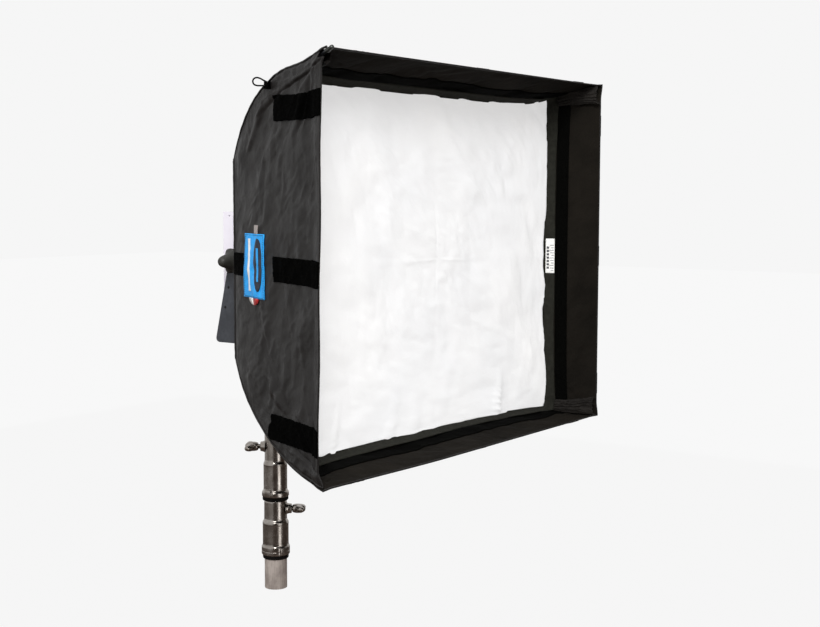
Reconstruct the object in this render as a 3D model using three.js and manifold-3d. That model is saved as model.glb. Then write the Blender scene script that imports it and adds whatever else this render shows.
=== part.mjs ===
// Studio softbox on a small LED head with its yoke and the top of a roller stand.
// Millimetres, +Z up, the white front screen faces -Y, the stand axis is x = y = 0.
import * as THREE from 'three';
import { mergeVertices } from 'three/addons/utils/BufferGeometryUtils.js';
import ManifoldModule from 'manifold-3d';

const kernel = await ManifoldModule();
kernel.setup();
const { Manifold, Mesh } = kernel;

const GAP = 0.3;              // running clearance between neighbouring pieces
const FACETS = 24;            // segments of a round section

// Fabric bank
const FRONT_Y = -452;         // plane of the front edge
const CENTRE_Z = 621;         // height of the bank's and the head's centre line
const HALF_W = 406.5;         // half width at the front edge
const HALF_H = 305;           // half height at the front edge
const DEPTH = 325;            // front edge to rear panel
const STEP = 25;              // spacing of the cross-sections
const CLOTH = 2.4;            // fabric with its lining
const TRIM = 1.2;             // touch tape, labels and straps
const OFF = 1.3;              // their clearance from the fabric, which is a chain of chords
const TAB_DEPTH = 170;
const TAB_WIDTH = 38;
const SIDE_TABS = [-245, -7.5, 231];
const TOP_TABS = [-325, 0, 325];
const LIP_FROM = 46;          // touch tape inside the front opening
const LIP_TO = 64;
const BORDER_FROM = 66;       // band of tape that the screen's edge is sewn to
const SCREEN_D = 88;          // depth of the front screen behind the front edge
const CORNER_CUT = 17;        // how much of the screen's corners makes room for the rods
const SIDE_BOW = 9;           // how far the rods let each wall be drawn inward
const TOP_BOW = 32;
const BOTTOM_BOW = 17;
const BAFFLE_D = 200;
const ROD_R = 2.8;
const ROD_INSET = 6.2;        // rod centre to the inner face of the walls

// Speed ring and lamp head
const RING_Y = -139.5;
const RING_BACK_Y = -118.3;
const HEAD_HALF_W = 122;
const HEAD_HALF_H = 75;
const HEAD_FRONT_Y = -118;
const HEAD_REAR_Y = 10;
const PLATE = 2.8;

// Yoke
const PIVOT_Y = -34;
const PIVOT_Z = 612;
const ARM_X = 128;            // inner face of each arm
const ARM_T = 4;
const ARM_W = 44;
const ARM_LEAN = 13;          // degrees that the arms sweep back
const CROSS_Z = 472;          // top face of the crossbar

// Stand
const COLUMN_R = 20.7;
const RISER_R = 17.5;
const PIN_R = 14.2;
const COLLAR = { base: 63.3, rim: 79.6, sleeve: 126.8, top: 164.4, handle: 148 };
const RECEIVER = { base: 171.9, rim: 183.2, sleeve: 233.7, top: 302, handle: 264 };
const HANDLE_TURN = -54.7;    // direction that the lower T-handle points, degrees from +X
const HANDLE_ROLL = 65;       // how far each T-bar is turned from upright

const object = new THREE.Group();
object.name = 'studio_softbox';

function paint(color, metalness, roughness) {
  return new THREE.MeshStandardMaterial({ color, metalness, roughness });
}

const paints = {
  cloth: paint(0x3c3b3a, 0, 0.85),
  touch_tape: paint(0x0b0b0c, 0, 0.95),
  screen: paint(0xf4f5f6, 0, 0.8),
  border: paint(0x5c6058, 0, 0.9),
  label_blue: paint(0x2f9bd8, 0, 0.6),
  label_white: paint(0xf0f0ee, 0, 0.7),
  cord: paint(0x111111, 0, 0.9),
  rod: paint(0x2c2e31, 0.8, 0.35),
  ring: paint(0x8e9297, 0.9, 0.4),
  white_paint: paint(0xe6e2ec, 0.1, 0.45),
  heatsink: paint(0x26282a, 0.5, 0.5),
  plastic: paint(0x1a1b1c, 0, 0.5),
  emitter: paint(0xe8d27a, 0, 0.4),
  lens: paint(0xdfe6ea, 0, 0.1),
  yoke_paint: paint(0x464a50, 0.3, 0.55),
  knob: paint(0x37372f, 0, 0.6),
  steel: paint(0xb4b7ba, 1, 0.3),
  casting: paint(0xc9cbcc, 1, 0.18),
  tube: paint(0xa9acb0, 0.9, 0.4),
  rubber: paint(0x0d0d0d, 0, 0.9),
};

function add(name, solid, slot) {
  const mesh = solid.getMesh();
  const geometry = new THREE.BufferGeometry();
  const stride = mesh.numProp;
  const points = new Float32Array(mesh.numVert * 3);
  for (let i = 0; i < mesh.numVert; i += 1) {
    points.set(mesh.vertProperties.subarray(i * stride, i * stride + 3), i * 3);
  }
  geometry.setAttribute('position', new THREE.BufferAttribute(points, 3));
  geometry.setIndex(new THREE.BufferAttribute(new Uint32Array(mesh.triVerts), 1));
  const material = paints[slot].clone();
  material.name = slot;
  const piece = new THREE.Mesh(geometry, material);
  piece.name = name;
  object.add(piece);
}

// ---- solids -------------------------------------------------------------

// Turns a closed three.js geometry into a solid that can be joined and cut.
function solid(geometry) {
  geometry.deleteAttribute('normal');
  geometry.deleteAttribute('uv');
  const merged = mergeVertices(geometry, 1e-4);
  const index = merged.index.array;
  const faces = [];
  for (let i = 0; i < index.length; i += 3) {
    const [a, b, c] = [index[i], index[i + 1], index[i + 2]];
    if (a !== b && b !== c && a !== c) faces.push(a, b, c);
  }
  const points = new Float32Array(merged.attributes.position.array);
  return new Manifold(new Mesh({ numProp: 3, vertProperties: points, triVerts: new Uint32Array(faces) }));
}

function block(x0, x1, y0, y1, z0, z1) {
  const box = new THREE.BoxGeometry(x1 - x0, y1 - y0, z1 - z0);
  return solid(box.translate((x0 + x1) / 2, (y0 + y1) / 2, (z0 + z1) / 2));
}

function upright(radius, z0, z1, facets = FACETS) {
  const bar = new THREE.CylinderGeometry(radius, radius, z1 - z0, facets).rotateX(Math.PI / 2);
  return solid(bar.translate(0, 0, (z0 + z1) / 2));
}

// A round bar along X, between two x positions, about the axis y, z.
function barX(radius, x0, x1, y, z, facets = FACETS) {
  return solid(taper(radius, radius, x0, x1, facets).translate(0, y, z));
}

function barY(radius, y0, y1, x, z, facets = FACETS) {
  const bar = new THREE.CylinderGeometry(radius, radius, y1 - y0, facets);
  return solid(bar.translate(x, (y0 + y1) / 2, z));
}

// A cone along X, with radius r0 at x0 and r1 at x1.
function taper(r0, r1, x0, x1, facets) {
  return new THREE.CylinderGeometry(r1, r0, x1 - x0, facets).rotateZ(-Math.PI / 2)
    .translate((x0 + x1) / 2, 0, 0);
}

function extrude(shape, depth, curveSegments = 6) {
  return new THREE.ExtrudeGeometry(shape, { depth, bevelEnabled: false, curveSegments });
}

function roundedRectangle(halfW, halfH, r) {
  const shape = new THREE.Shape();
  shape.absarc(halfW - r, halfH - r, r, 0, Math.PI / 2);
  shape.absarc(-halfW + r, halfH - r, r, Math.PI / 2, Math.PI);
  shape.absarc(-halfW + r, -halfH + r, r, Math.PI, 1.5 * Math.PI);
  shape.absarc(halfW - r, -halfH + r, r, 1.5 * Math.PI, 2 * Math.PI);
  return shape;
}

// A shape of the XZ plane made into a plate from y0 to y1, about the head's centre line.
function upstanding(shape, y0, y1) {
  return solid(extrude(shape, y1 - y0, 4).rotateX(Math.PI / 2).translate(0, y1, CENTRE_Z));
}

function framePlate(halfW, halfH, radius, y0, y1) {
  return upstanding(roundedRectangle(halfW, halfH, radius), y0, y1);
}

// A turned body from a closed outline of [radius, height] pairs, about the stand axis.
function lathe(outline) {
  const points = [...outline, outline[0]].map(([r, z]) => new THREE.Vector2(r, z));
  return solid(new THREE.LatheGeometry(points, FACETS).rotateX(Math.PI / 2));
}

// Joins equal cross-sections, one per station, into one closed body.
function loft(sections) {
  const n = sections[0].length;
  const faces = [];
  for (let s = 0; s < sections.length - 1; s += 1) {
    for (let i = 0; i < n; i += 1) {
      const a = s * n + i;
      const b = s * n + ((i + 1) % n);
      faces.push(a, b, b + n, a, b + n, a + n);
    }
  }
  const last = (sections.length - 1) * n;
  for (let i = 0; i < n / 2 - 1; i += 1) {
    const j = n - 1 - i;
    faces.push(i, j, j - 1, i, j - 1, i + 1);
    faces.push(last + i, last + j - 1, last + j, last + i, last + i + 1, last + j - 1);
  }
  const geometry = new THREE.BufferGeometry();
  geometry.setAttribute('position', new THREE.BufferAttribute(new Float32Array(sections.flat(2)), 3));
  geometry.setIndex(faces);
  const body = solid(geometry);
  return body.volume() > 0 ? body : solid(turnedOver(geometry));
}

function turnedOver(geometry) {
  const index = geometry.index.array;
  for (let i = 0; i < index.length; i += 3) [index[i + 1], index[i + 2]] = [index[i + 2], index[i + 1]];
  return geometry;
}

// A round rod or cord swept along points, with flat ends.
function tube(points, radius, sides, steps) {
  const path = new THREE.CatmullRomCurve3(points.map((p) => new THREE.Vector3(...p)));
  const ring = [];
  for (let i = 0; i < sides; i += 1) {
    const a = (2 * Math.PI * (i + 0.5)) / sides;
    ring.push(new THREE.Vector2(radius * Math.cos(a), radius * Math.sin(a)));
  }
  const options = { steps, bevelEnabled: false, extrudePath: path };
  return solid(new THREE.ExtrudeGeometry(new THREE.Shape(ring), options));
}

// A straight bar through a point, from one distance to another along a direction.
function straight(point, way, from, to, radius) {
  const at = (k) => point.clone().addScaledVector(way, from + ((to - from) * k) / 2).toArray();
  return tube([at(0), at(1), at(2)], radius, 12, 1);
}

function joined(solids) {
  return solids.reduce((whole, next) => whole.add(next));
}

// ---- the bank's form ----------------------------------------------------

function halfWidth(d) {
  const u = d / DEPTH;
  return HALF_W * (1 - 0.36 * u - 0.05 * u ** 5);
}

function halfHeight(d) {
  return HALF_H * (1 - 0.471 * (d / DEPTH) ** 2.3);
}

// How far the middle of a side wall is drawn inward between its two rods.
function sideBow(d) {
  return SIDE_BOW * Math.sin((Math.PI * d) / DEPTH);
}

// The top and bottom walls are drawn in most where the screen pulls on them.
function pull(d) {
  const ahead = Math.min(d / SCREEN_D, 1);
  const behind = Math.max(0, d - SCREEN_D) / (DEPTH - SCREEN_D);
  return (1 - (1 - ahead) ** 1.2) * Math.cos((Math.PI / 2) * behind);
}

// A point of a wall: d behind the front, t along the wall, out from its outer face.
const walls = {
  left: (d, t, out) => [-sideX(d, t, out), FRONT_Y + d, CENTRE_Z + t],
  right: (d, t, out) => [sideX(d, t, out), FRONT_Y + d, CENTRE_Z + t],
  top: (d, t, out) => [t, FRONT_Y + d, CENTRE_Z + flatZ(d, t, TOP_BOW, out)],
  bottom: (d, t, out) => [t, FRONT_Y + d, CENTRE_Z - flatZ(d, t, BOTTOM_BOW, out)],
};

function sideX(d, t, out) {
  return halfWidth(d) - sideBow(d) * (1 - (t / halfHeight(d)) ** 2) + out;
}

function flatZ(d, t, bow, out) {
  const near = t / halfWidth(d);
  return halfHeight(d) - bow * pull(d) * (1 - near ** 4) + out;
}

// Places from t0 to t1 that crowd toward both ends, where a wall curves most.
function crowded(t0, t1, pieces) {
  const places = [];
  for (let i = 0; i <= pieces; i += 1) {
    places.push((t0 + t1) / 2 + ((t1 - t0) / 2) * Math.sin(Math.PI * (i / pieces - 0.5)));
  }
  return places;
}

// A strip on a wall: from d0 to d1, across span(d) = [t0, t1], between two offsets.
function strip(wall, d0, d1, span, low, high, pieces = 2) {
  const sections = [];
  const stations = [];
  for (let d = d0; d < d1 - 1e-6; d += STEP) stations.push(d);
  for (const d of [...stations, d1]) {
    const upper = [];
    const lower = [];
    for (const t of crowded(...span(d), pieces)) {
      upper.push(walls[wall](d, t, high));
      lower.unshift(walls[wall](d, t, low));
    }
    sections.push([...upper, ...lower]);
  }
  return loft(sections);
}

function wallSpan(wall, d, inset) {
  const half = wall === 'left' || wall === 'right' ? halfHeight(d) : halfWidth(d);
  return [-half + inset, half - inset];
}

function addPanels() {
  for (const wall of ['left', 'right']) {
    const span = (d) => wallSpan(wall, d, 0);
    add(`${wall}_panel`, strip(wall, 0, DEPTH, span, -CLOTH, 0, 6), 'cloth');
  }
  for (const wall of ['top', 'bottom']) {
    const span = (d) => wallSpan(wall, d, CLOTH + GAP);
    add(`${wall}_panel`, strip(wall, 0, DEPTH, span, -CLOTH, 0, 16), 'cloth');
  }
}

// Three touch tabs and the hem tape that joins them, one piece per wall.
function addTabs() {
  for (const wall of Object.keys(walls)) {
    const sideways = wall === 'left' || wall === 'right';
    const places = sideways ? SIDE_TABS : TOP_TABS;
    const low = OFF;
    const high = OFF + TRIM;
    const hem = strip(wall, 0, STEP, (d) => wallSpan(wall, d, 6), low, high, 16);
    const tabs = places.map((t) => strip(wall, 0, TAB_DEPTH, (d) => {
      const middle = sideways ? t : (t * halfWidth(d)) / HALF_W;
      return [middle - TAB_WIDTH / 2, middle + TAB_WIDTH / 2];
    }, low, high));
    add(`${wall}_tabs`, joined([hem, ...tabs]), 'touch_tape');
  }
}

function addLipTape() {
  for (const wall of Object.keys(walls)) {
    const low = -CLOTH - OFF - TRIM;
    const span = (d) => wallSpan(wall, d, 30);
    const tape = strip(wall, LIP_FROM, LIP_TO, span, low, -CLOTH - OFF, 16);
    add(`${wall}_lip_tape`, tape, 'touch_tape');
  }
}

// ---- rear of the bank ---------------------------------------------------

function addRearPanel() {
  const y = FRONT_Y + DEPTH + GAP;
  const outer = framePlate(halfWidth(DEPTH), halfHeight(DEPTH), 4, y, y + CLOTH);
  const hole = framePlate(HEAD_HALF_W + 2.4, HEAD_HALF_H + 2.4, 6, y - 1, y + CLOTH + 1);
  add('rear_panel', outer.subtract(hole), 'cloth');
  const cuffFront = y + CLOTH + GAP;
  const cuff = framePlate(HEAD_HALF_W + 5, HEAD_HALF_H + 5, 8, cuffFront, cuffFront + 34);
  const inside = framePlate(HEAD_HALF_W + 2.6, HEAD_HALF_H + 2.6, 6, cuffFront - 1, cuffFront + 35);
  add('rear_cuff', cuff.subtract(inside), 'cloth');
}

function rodPath(sx, sz) {
  const at = (x, d, z) => [sx * x, FRONT_Y + d, CENTRE_Z + sz * z];
  const path = [at(128, 310, 92), at(150, 308.6, 107), at(184, 305, 130), at(213, 298, 149)];
  for (const d of [270, 240, 200, 150, 100, 60, 30, 2]) {
    path.push(at(halfWidth(d) - ROD_INSET - CLOTH, d, halfHeight(d) - ROD_INSET - CLOTH));
  }
  return path;
}

// Bowed corner rods, with a cap on the front end of each.
function addRods() {
  const corners = { top_left: [-1, 1], top_right: [1, 1], bottom_left: [-1, -1], bottom_right: [1, -1] };
  for (const [name, [sx, sz]] of Object.entries(corners)) {
    const path = rodPath(sx, sz);
    add(`${name}_rod`, tube(path, ROD_R, 8, 22), 'rod');
    const [inner, tip] = path.slice(-2).map((p) => new THREE.Vector3(...p));
    const way = tip.clone().sub(inner).normalize();
    const cap = straight(tip, way, -14, 6, 3.9);
    add(`${name}_rod_cap`, cap.subtract(straight(tip, way, -18, 0.6, ROD_R + 0.35)), 'steel');
  }
}

function socket(sx, sz) {
  const [a, b] = rodPath(sx, sz);
  const way = new THREE.Vector3(b[0] - a[0], b[1] - a[1], b[2] - a[2]).normalize();
  const mouth = new THREE.Vector3(...a);
  return [straight(mouth, way, -8, 20, 7), straight(mouth, way, -0.6, 24, ROD_R + 0.6)];
}

function addSpeedRing() {
  const flange = framePlate(146, 102, 12, RING_Y, RING_Y + 12);
  const collar = framePlate(HEAD_HALF_W + 1.6, HEAD_HALF_H + 1.6, 6, RING_Y + 11, RING_BACK_Y);
  const opening = framePlate(HEAD_HALF_W - 6, HEAD_HALF_H - 6, 4, RING_Y - 12, RING_BACK_Y + 1);
  let ring = flange.add(collar).subtract(opening);
  const pairs = [[-1, 1], [1, 1], [-1, -1], [1, -1]].map(([sx, sz]) => socket(sx, sz));
  for (const [body] of pairs) ring = ring.add(body.subtract(opening));
  for (const [, bore] of pairs) ring = ring.subtract(bore);
  add('speed_ring', ring, 'ring');
}

// ---- front screen and inner baffle --------------------------------------

// Outline of the screen: the four walls' curves with cut corners, drawn in by inset.
function screenOutline(inset) {
  const out = -CLOTH - 2.5 - inset;
  const w = halfWidth(SCREEN_D) - CORNER_CUT;
  const h = halfHeight(SCREEN_D) - CORNER_CUT;
  const points = [];
  const side = (reach, place) => {
    for (const t of crowded(-reach, reach, 12)) points.push(new THREE.Vector2(...place(t)));
  };
  side(h, (t) => [sideX(SCREEN_D, t, out), t]);
  side(w, (t) => [-t, flatZ(SCREEN_D, t, TOP_BOW, out)]);
  side(h, (t) => [-sideX(SCREEN_D, t, out), -t]);
  side(w, (t) => [t, -flatZ(SCREEN_D, t, BOTTOM_BOW, out)]);
  return points;
}

function addScreen() {
  const band = new THREE.Shape(screenOutline(0));
  band.holes.push(new THREE.Path(screenOutline(1.6)));
  add('screen_border', upstanding(band, FRONT_Y + BORDER_FROM, FRONT_Y + SCREEN_D), 'border');
  add('front_screen', sheetAt(new THREE.Shape(screenOutline(0)), SCREEN_D + GAP, 1.2), 'screen');
  const x = sideX(SCREEN_D, 0, -CLOTH - 2.5 - 1.6) - GAP;
  const [y0, y1] = [FRONT_Y + BORDER_FROM + 1, FRONT_Y + SCREEN_D - 1];
  add('screen_label', block(x - 0.8, x, y0, y1, CENTRE_Z - 40, CENTRE_Z + 24), 'label_white');
}

function sheetAt(shape, d, thickness) {
  return upstanding(shape, FRONT_Y + d, FRONT_Y + d + thickness);
}

// A smaller white sheet behind the screen, held by a tongue at each rod.
function addBaffle() {
  const w = halfWidth(BAFFLE_D) - 70;
  const h = halfHeight(BAFFLE_D) - 62;
  const reach = ROD_INSET + CLOTH + ROD_R + 1.5;
  const [endX, endZ] = [halfWidth(BAFFLE_D) - reach, halfHeight(BAFFLE_D) - reach];
  const long = Math.hypot(endX - w, endZ - h);
  const [nx, nz] = [(endZ - h) / long, (endX - w) / long];
  const corner = (sx, sz) => [
    [sx * (w - 16), sz * h], [sx * (endX - 4 * nx), sz * (endZ + 4 * nz)],
    [sx * (endX + 4 * nx), sz * (endZ - 4 * nz)], [sx * w, sz * (h - 16)],
  ];
  const outline = [
    ...corner(1, 1), ...corner(1, -1).reverse(), ...corner(-1, -1), ...corner(-1, 1).reverse(),
  ].map(([x, z]) => new THREE.Vector2(x, z));
  add('inner_baffle', sheetAt(new THREE.Shape(outline), BAFFLE_D, 1.2), 'screen');
}

// ---- labels, strap and pull loop ----------------------------------------

function addTrim() {
  const label = strip('left', 203, 274, () => [-55, 44], OFF, OFF + TRIM, 4);
  add('side_label', label, 'label_blue');
  const strap = strip('left', 277, DEPTH, () => [-24, 12], OFF, OFF + TRIM, 2);
  add('rear_strap', strap, 'touch_tape');
  addPullLoop();
}

// A loop of cord by the upper left seam, held by a patch on the side wall.
function addPullLoop() {
  const span = (d) => [halfHeight(d) - 16, halfHeight(d) - 4];
  add('loop_patch', strip('left', 171, 189, span, OFF, OFF + 3, 2), 'cloth');
  const [x, y, z] = walls.left(180, halfHeight(180) - 9.5, OFF + 5.8);
  const at = ([away, up]) => [x - 0.58 * away, y + 0.815 * away, z + up];
  const route = [[0, 3], [7, 7], [14, 9.5], [19.5, 8], [21, 4], [17.5, 0.5], [10, -2], [4, -3], [0, -3.2]];
  add('pull_loop', tube(route.map(at), 1.5, 8, 28), 'cord');
}

// ---- lamp head ----------------------------------------------------------

function addHead() {
  const inner = HEAD_HALF_W - PLATE - GAP;
  const housing = framePlate(inner, HEAD_HALF_H - 2, 5, HEAD_FRONT_Y, -30);
  const recess = framePlate(inner - 10, HEAD_HALF_H - 12, 4, HEAD_FRONT_Y - 1, HEAD_FRONT_Y + 22);
  add('head_housing', housing.subtract(recess), 'plastic');
  const board = framePlate(inner - 10.5, HEAD_HALF_H - 12.5, 4, HEAD_FRONT_Y + 17, HEAD_FRONT_Y + 21.7);
  let emitters = board;
  for (let i = -2; i <= 2; i += 1) {
    for (let k = -1; k <= 1; k += 1) {
      emitters = emitters.add(block(i * 40 - 4, i * 40 + 4, HEAD_FRONT_Y + 15, HEAD_FRONT_Y + 18,
        CENTRE_Z + k * 34 - 4, CENTRE_Z + k * 34 + 4));
    }
  }
  add('led_board', emitters, 'emitter');
  const lens = framePlate(inner - 10.5, HEAD_HALF_H - 12.5, 4, HEAD_FRONT_Y + 3, HEAD_FRONT_Y + 6);
  add('front_lens', lens, 'lens');
  addSidePlates();
  addHeatsink();
  addControls();
}

function addSidePlates() {
  for (const [name, s] of [['left', -1], ['right', 1]]) {
    const x0 = s < 0 ? -HEAD_HALF_W : HEAD_HALF_W - PLATE;
    const [low, top] = [CENTRE_Z - HEAD_HALF_H, CENTRE_Z + HEAD_HALF_H];
    let plate = block(x0, x0 + PLATE, HEAD_FRONT_Y + 2, HEAD_REAR_Y, low, top);
    for (const [y, z] of [[-4, 68], [-104, 68], [-4, -68], [-104, -68], [-55, 68]]) {
      plate = plate.subtract(barX(1.8, x0 - 1, x0 + PLATE + 1, y, CENTRE_Z + z, 10));
    }
    plate = plate.subtract(barX(5.4, x0 - 1, x0 + PLATE + 1, PIVOT_Y, PIVOT_Z, 24));
    add(`${name}_side_plate`, plate, 'white_paint');
  }
}

function addHeatsink() {
  const top = CENTRE_Z + HEAD_HALF_H - 2;
  const low = CENTRE_Z - 24;
  let sink = block(-110, 110, -29.7, -23, low, top);
  for (let i = -10; i <= 10; i += 1) {
    sink = sink.add(block(i * 10.8 - 1.2, i * 10.8 + 1.2, -24, 7, low, top));
  }
  add('heatsink', sink, 'heatsink');
}

function addControls() {
  const low = CENTRE_Z - HEAD_HALF_H + 2;
  const top = CENTRE_Z - 24.3;
  const rear = HEAD_REAR_Y - 2;
  let box = block(-112, 112, -29.7, rear, low, top);
  box = box.subtract(barY(3.4, rear - 14, rear + 1, -78, CENTRE_Z - 48, 24));
  box = box.subtract(block(20, 44, rear - 12, rear + 1, CENTRE_Z - 56, CENTRE_Z - 40));
  box = box.subtract(block(62, 94, rear - 16, rear + 1, CENTRE_Z - 60, CENTRE_Z - 36));
  add('control_box', box, 'plastic');
  add('display_window', block(-52, -4, rear + GAP, rear + 1.8, CENTRE_Z - 60, CENTRE_Z - 36), 'lens');
  add('power_inlet', inlet(rear), 'plastic');
  const shaft = barY(3, rear - 10, rear + 3, -78, CENTRE_Z - 48, 24);
  let grip = barY(11, rear + 2, rear + 16, -78, CENTRE_Z - 48, 36);
  for (let i = 0; i < 8; i += 1) {
    const a = (i * Math.PI) / 4;
    const x = -78 + 11.6 * Math.cos(a);
    grip = grip.subtract(barY(1.4, rear + 4, rear + 17, x, CENTRE_Z - 48 + 11.6 * Math.sin(a), 10));
  }
  add('dimmer_knob', shaft.add(grip), 'plastic');
  add('power_rocker', rocker(rear), 'plastic');
}

function inlet(rear) {
  let shell = block(62.3, 93.7, rear - 15.7, rear + 1.2, CENTRE_Z - 59.7, CENTRE_Z - 36.3);
  shell = shell.subtract(block(66, 90, rear - 12, rear + 3, CENTRE_Z - 56, CENTRE_Z - 40));
  for (const x of [71, 78, 85]) {
    const z = CENTRE_Z - (x === 78 ? 45 : 51);
    shell = shell.add(block(x - 1, x + 1, rear - 13, rear - 2, z - 2.2, z + 2.2));
  }
  return shell;
}

// A two-position rocker that turns on an axis along Z.
function rocker(rear) {
  const outline = [[-10, -7.4], [10, -7.4], [11.2, 0.6], [0, -2.4], [-11.2, 0.6]];
  const wedge = new THREE.Shape(outline.map(([x, y]) => new THREE.Vector2(x, y)));
  return solid(extrude(wedge, 15.2).translate(32, rear + 3, CENTRE_Z - 55.6));
}

// ---- yoke ---------------------------------------------------------------

// Side view of an arm about the pivot: first coordinate to the rear, second up.
function armShape() {
  const lean = (ARM_LEAN * Math.PI) / 180;
  const [c, n, r] = [Math.cos(lean), Math.sin(lean), ARM_W / 2];
  const rise = PIVOT_Z - CROSS_Z + ARM_T;
  const foot = (side) => side * r * c + ((rise + side * r * n) / c) * n;
  const shape = new THREE.Shape();
  shape.absarc(0, 0, r, lean, Math.PI + lean);
  shape.lineTo(foot(-1), -rise);
  shape.lineTo(foot(1) - 12, -rise);
  shape.quadraticCurveTo(foot(1), -rise, foot(1) - 10 * n, -rise + 10);
  const holes = [[0, 0, 5.4], [24, -47, 2.6], [32, -82, 2.6]];
  for (const [y, z, radius] of holes) {
    const hole = new THREE.Path();
    hole.absarc(y, z, radius, 0, 2 * Math.PI, true);
    shape.holes.push(hole);
  }
  return shape;
}

function arm(side) {
  const plate = extrude(armShape(), ARM_T, 7).rotateX(Math.PI / 2).rotateZ(Math.PI / 2);
  return solid(plate.translate(side < 0 ? -ARM_X - ARM_T : ARM_X, PIVOT_Y, PIVOT_Z));
}

function addYoke() {
  const centreY = PIVOT_Y + (PIVOT_Z - CROSS_Z) * Math.tan((ARM_LEAN * Math.PI) / 180);
  const bar = block(-ARM_X - ARM_T, ARM_X + ARM_T, centreY - 22, centreY + 14, CROSS_Z - ARM_T, CROSS_Z);
  const hole = upright(6.5, CROSS_Z - 10, CROSS_Z + 5, 32);
  add('yoke_frame', joined([arm(-1), arm(1), bar]).subtract(hole), 'yoke_paint');
  const nut = upright(11, CROSS_Z + GAP, CROSS_Z + 10, 6);
  add('yoke_nut', nut.subtract(upright(6.3, CROSS_Z, CROSS_Z + 12, 24)), 'steel');
  const pin = lathe([
    [0, 236], [PIN_R, 236], [PIN_R, 246], [PIN_R - 2, 248], [PIN_R - 2, 256], [PIN_R, 258],
    [PIN_R, RECEIVER.top + 0.6], [22, RECEIVER.top + 0.6], [22, RECEIVER.top + 9], [17, RECEIVER.top + 12],
    [17, 455], [26, 459], [26, CROSS_Z - ARM_T - GAP], [6, CROSS_Z - ARM_T - GAP],
    [6, CROSS_Z + 13], [0, CROSS_Z + 13],
  ]);
  add('junior_pin', pin, 'steel');
}

// Six lobes round a tapering hub, with a blind bore for the stud.
function knob(side) {
  const cone = (...sizes) => solid(taper(...sizes));
  const lobes = [];
  for (let i = 0; i < 6; i += 1) {
    const a = (i * Math.PI) / 3;
    lobes.push(solid(taper(6.5, 5.5, 1.5, 15.5, 12).translate(0, 17.5 * Math.cos(a), 17.5 * Math.sin(a))));
  }
  const hub = [cone(20, 17, 0, 17, 24), cone(17, 10.5, 16.5, 32.5, 24), cone(10.5, 7, 32, 44.7, 24)];
  const body = joined([...hub, ...lobes]).subtract(barX(5.5, -1, 22, 0, 0, 16));
  const outward = side > 0 ? body : body.rotate([0, 0, 180]);
  return outward.translate([side * (ARM_X + ARM_T + 2.6), PIVOT_Y, PIVOT_Z]);
}

// Threaded stud and spacer of the head, washer and clamping knob outside the arm.
function addPivots() {
  for (const [name, side] of [['left', -1], ['right', 1]]) {
    const span = (a, b) => (side > 0 ? [a, b] : [-b, -a]);
    const spacer = barX(18, ...span(HEAD_HALF_W + GAP, ARM_X - GAP), PIVOT_Y, PIVOT_Z);
    const stud = barX(5, ...span(HEAD_HALF_W - PLATE - 0.2 + GAP, ARM_X + ARM_T + 22), PIVOT_Y, PIVOT_Z, 24);
    add(`${name}_pivot_stud`, spacer.add(stud), 'steel');
    const washer = barX(13, ...span(ARM_X + ARM_T + GAP, ARM_X + ARM_T + 2.2), PIVOT_Y, PIVOT_Z);
    const bore = barX(5.5, ...span(ARM_X, ARM_X + ARM_T + 5), PIVOT_Y, PIVOT_Z, 24);
    add(`${name}_pivot_washer`, washer.subtract(bore), 'rubber');
    add(`${name}_tilt_knob`, knob(side), 'knob');
  }
}

// ---- stand --------------------------------------------------------------

// A round bar out from the stand axis at height z, in the direction turn.
function spoke(z, turn, from, to, radius) {
  const bar = taper(radius, radius, from, to, 20).rotateZ((turn * Math.PI) / 180);
  return solid(bar.translate(0, 0, z));
}

function tHandle(z, turn, tip, reach) {
  const points = [-17, -9, 0, 9, 17].map((v) => [reach - 8 + Math.abs(v) / 4.3, 0, v]);
  const bar = tube(points, 4.2, 10, 8).rotate([HANDLE_ROLL, 0, turn]).translate([0, 0, z]);
  return spoke(z, turn, tip, reach - 5, 4.6).add(bar);
}

function addStand() {
  const tube = upright(COLUMN_R, 0, 124).subtract(upright(RISER_R + 0.8, -1, 130));
  add('column_tube', tube, 'tube');
  const c = COLLAR;
  let collar = lathe([
    [COLUMN_R + 0.4, c.base], [25.4, c.base], [26, c.base + 1.5], [26, c.rim - 1.5],
    [23.8, c.rim], [23.8, c.sleeve - 3], [20.8, c.sleeve], [20.8, c.top],
    [RISER_R + 0.5, c.top], [RISER_R + 0.5, 124.4], [COLUMN_R + 0.4, 124.4],
  ]);
  collar = collar.add(spoke(c.handle, HANDLE_TURN, 17, 30, 9).subtract(upright(RISER_R + 0.5, 100, 200)));
  collar = collar.subtract(spoke(c.handle, HANDLE_TURN, 10, 40, 5.1));
  add('column_collar', collar, 'casting');
  const ring = upright(24, c.base - 7.2, c.base - GAP).subtract(upright(COLUMN_R + 0.4, 50, 70));
  add('collar_ring', ring, 'rubber');
  add('collar_t_screw', tHandle(c.handle, HANDLE_TURN, RISER_R + 0.5, 54), 'casting');
  addReceiver(HANDLE_TURN + 180);
}

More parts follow.
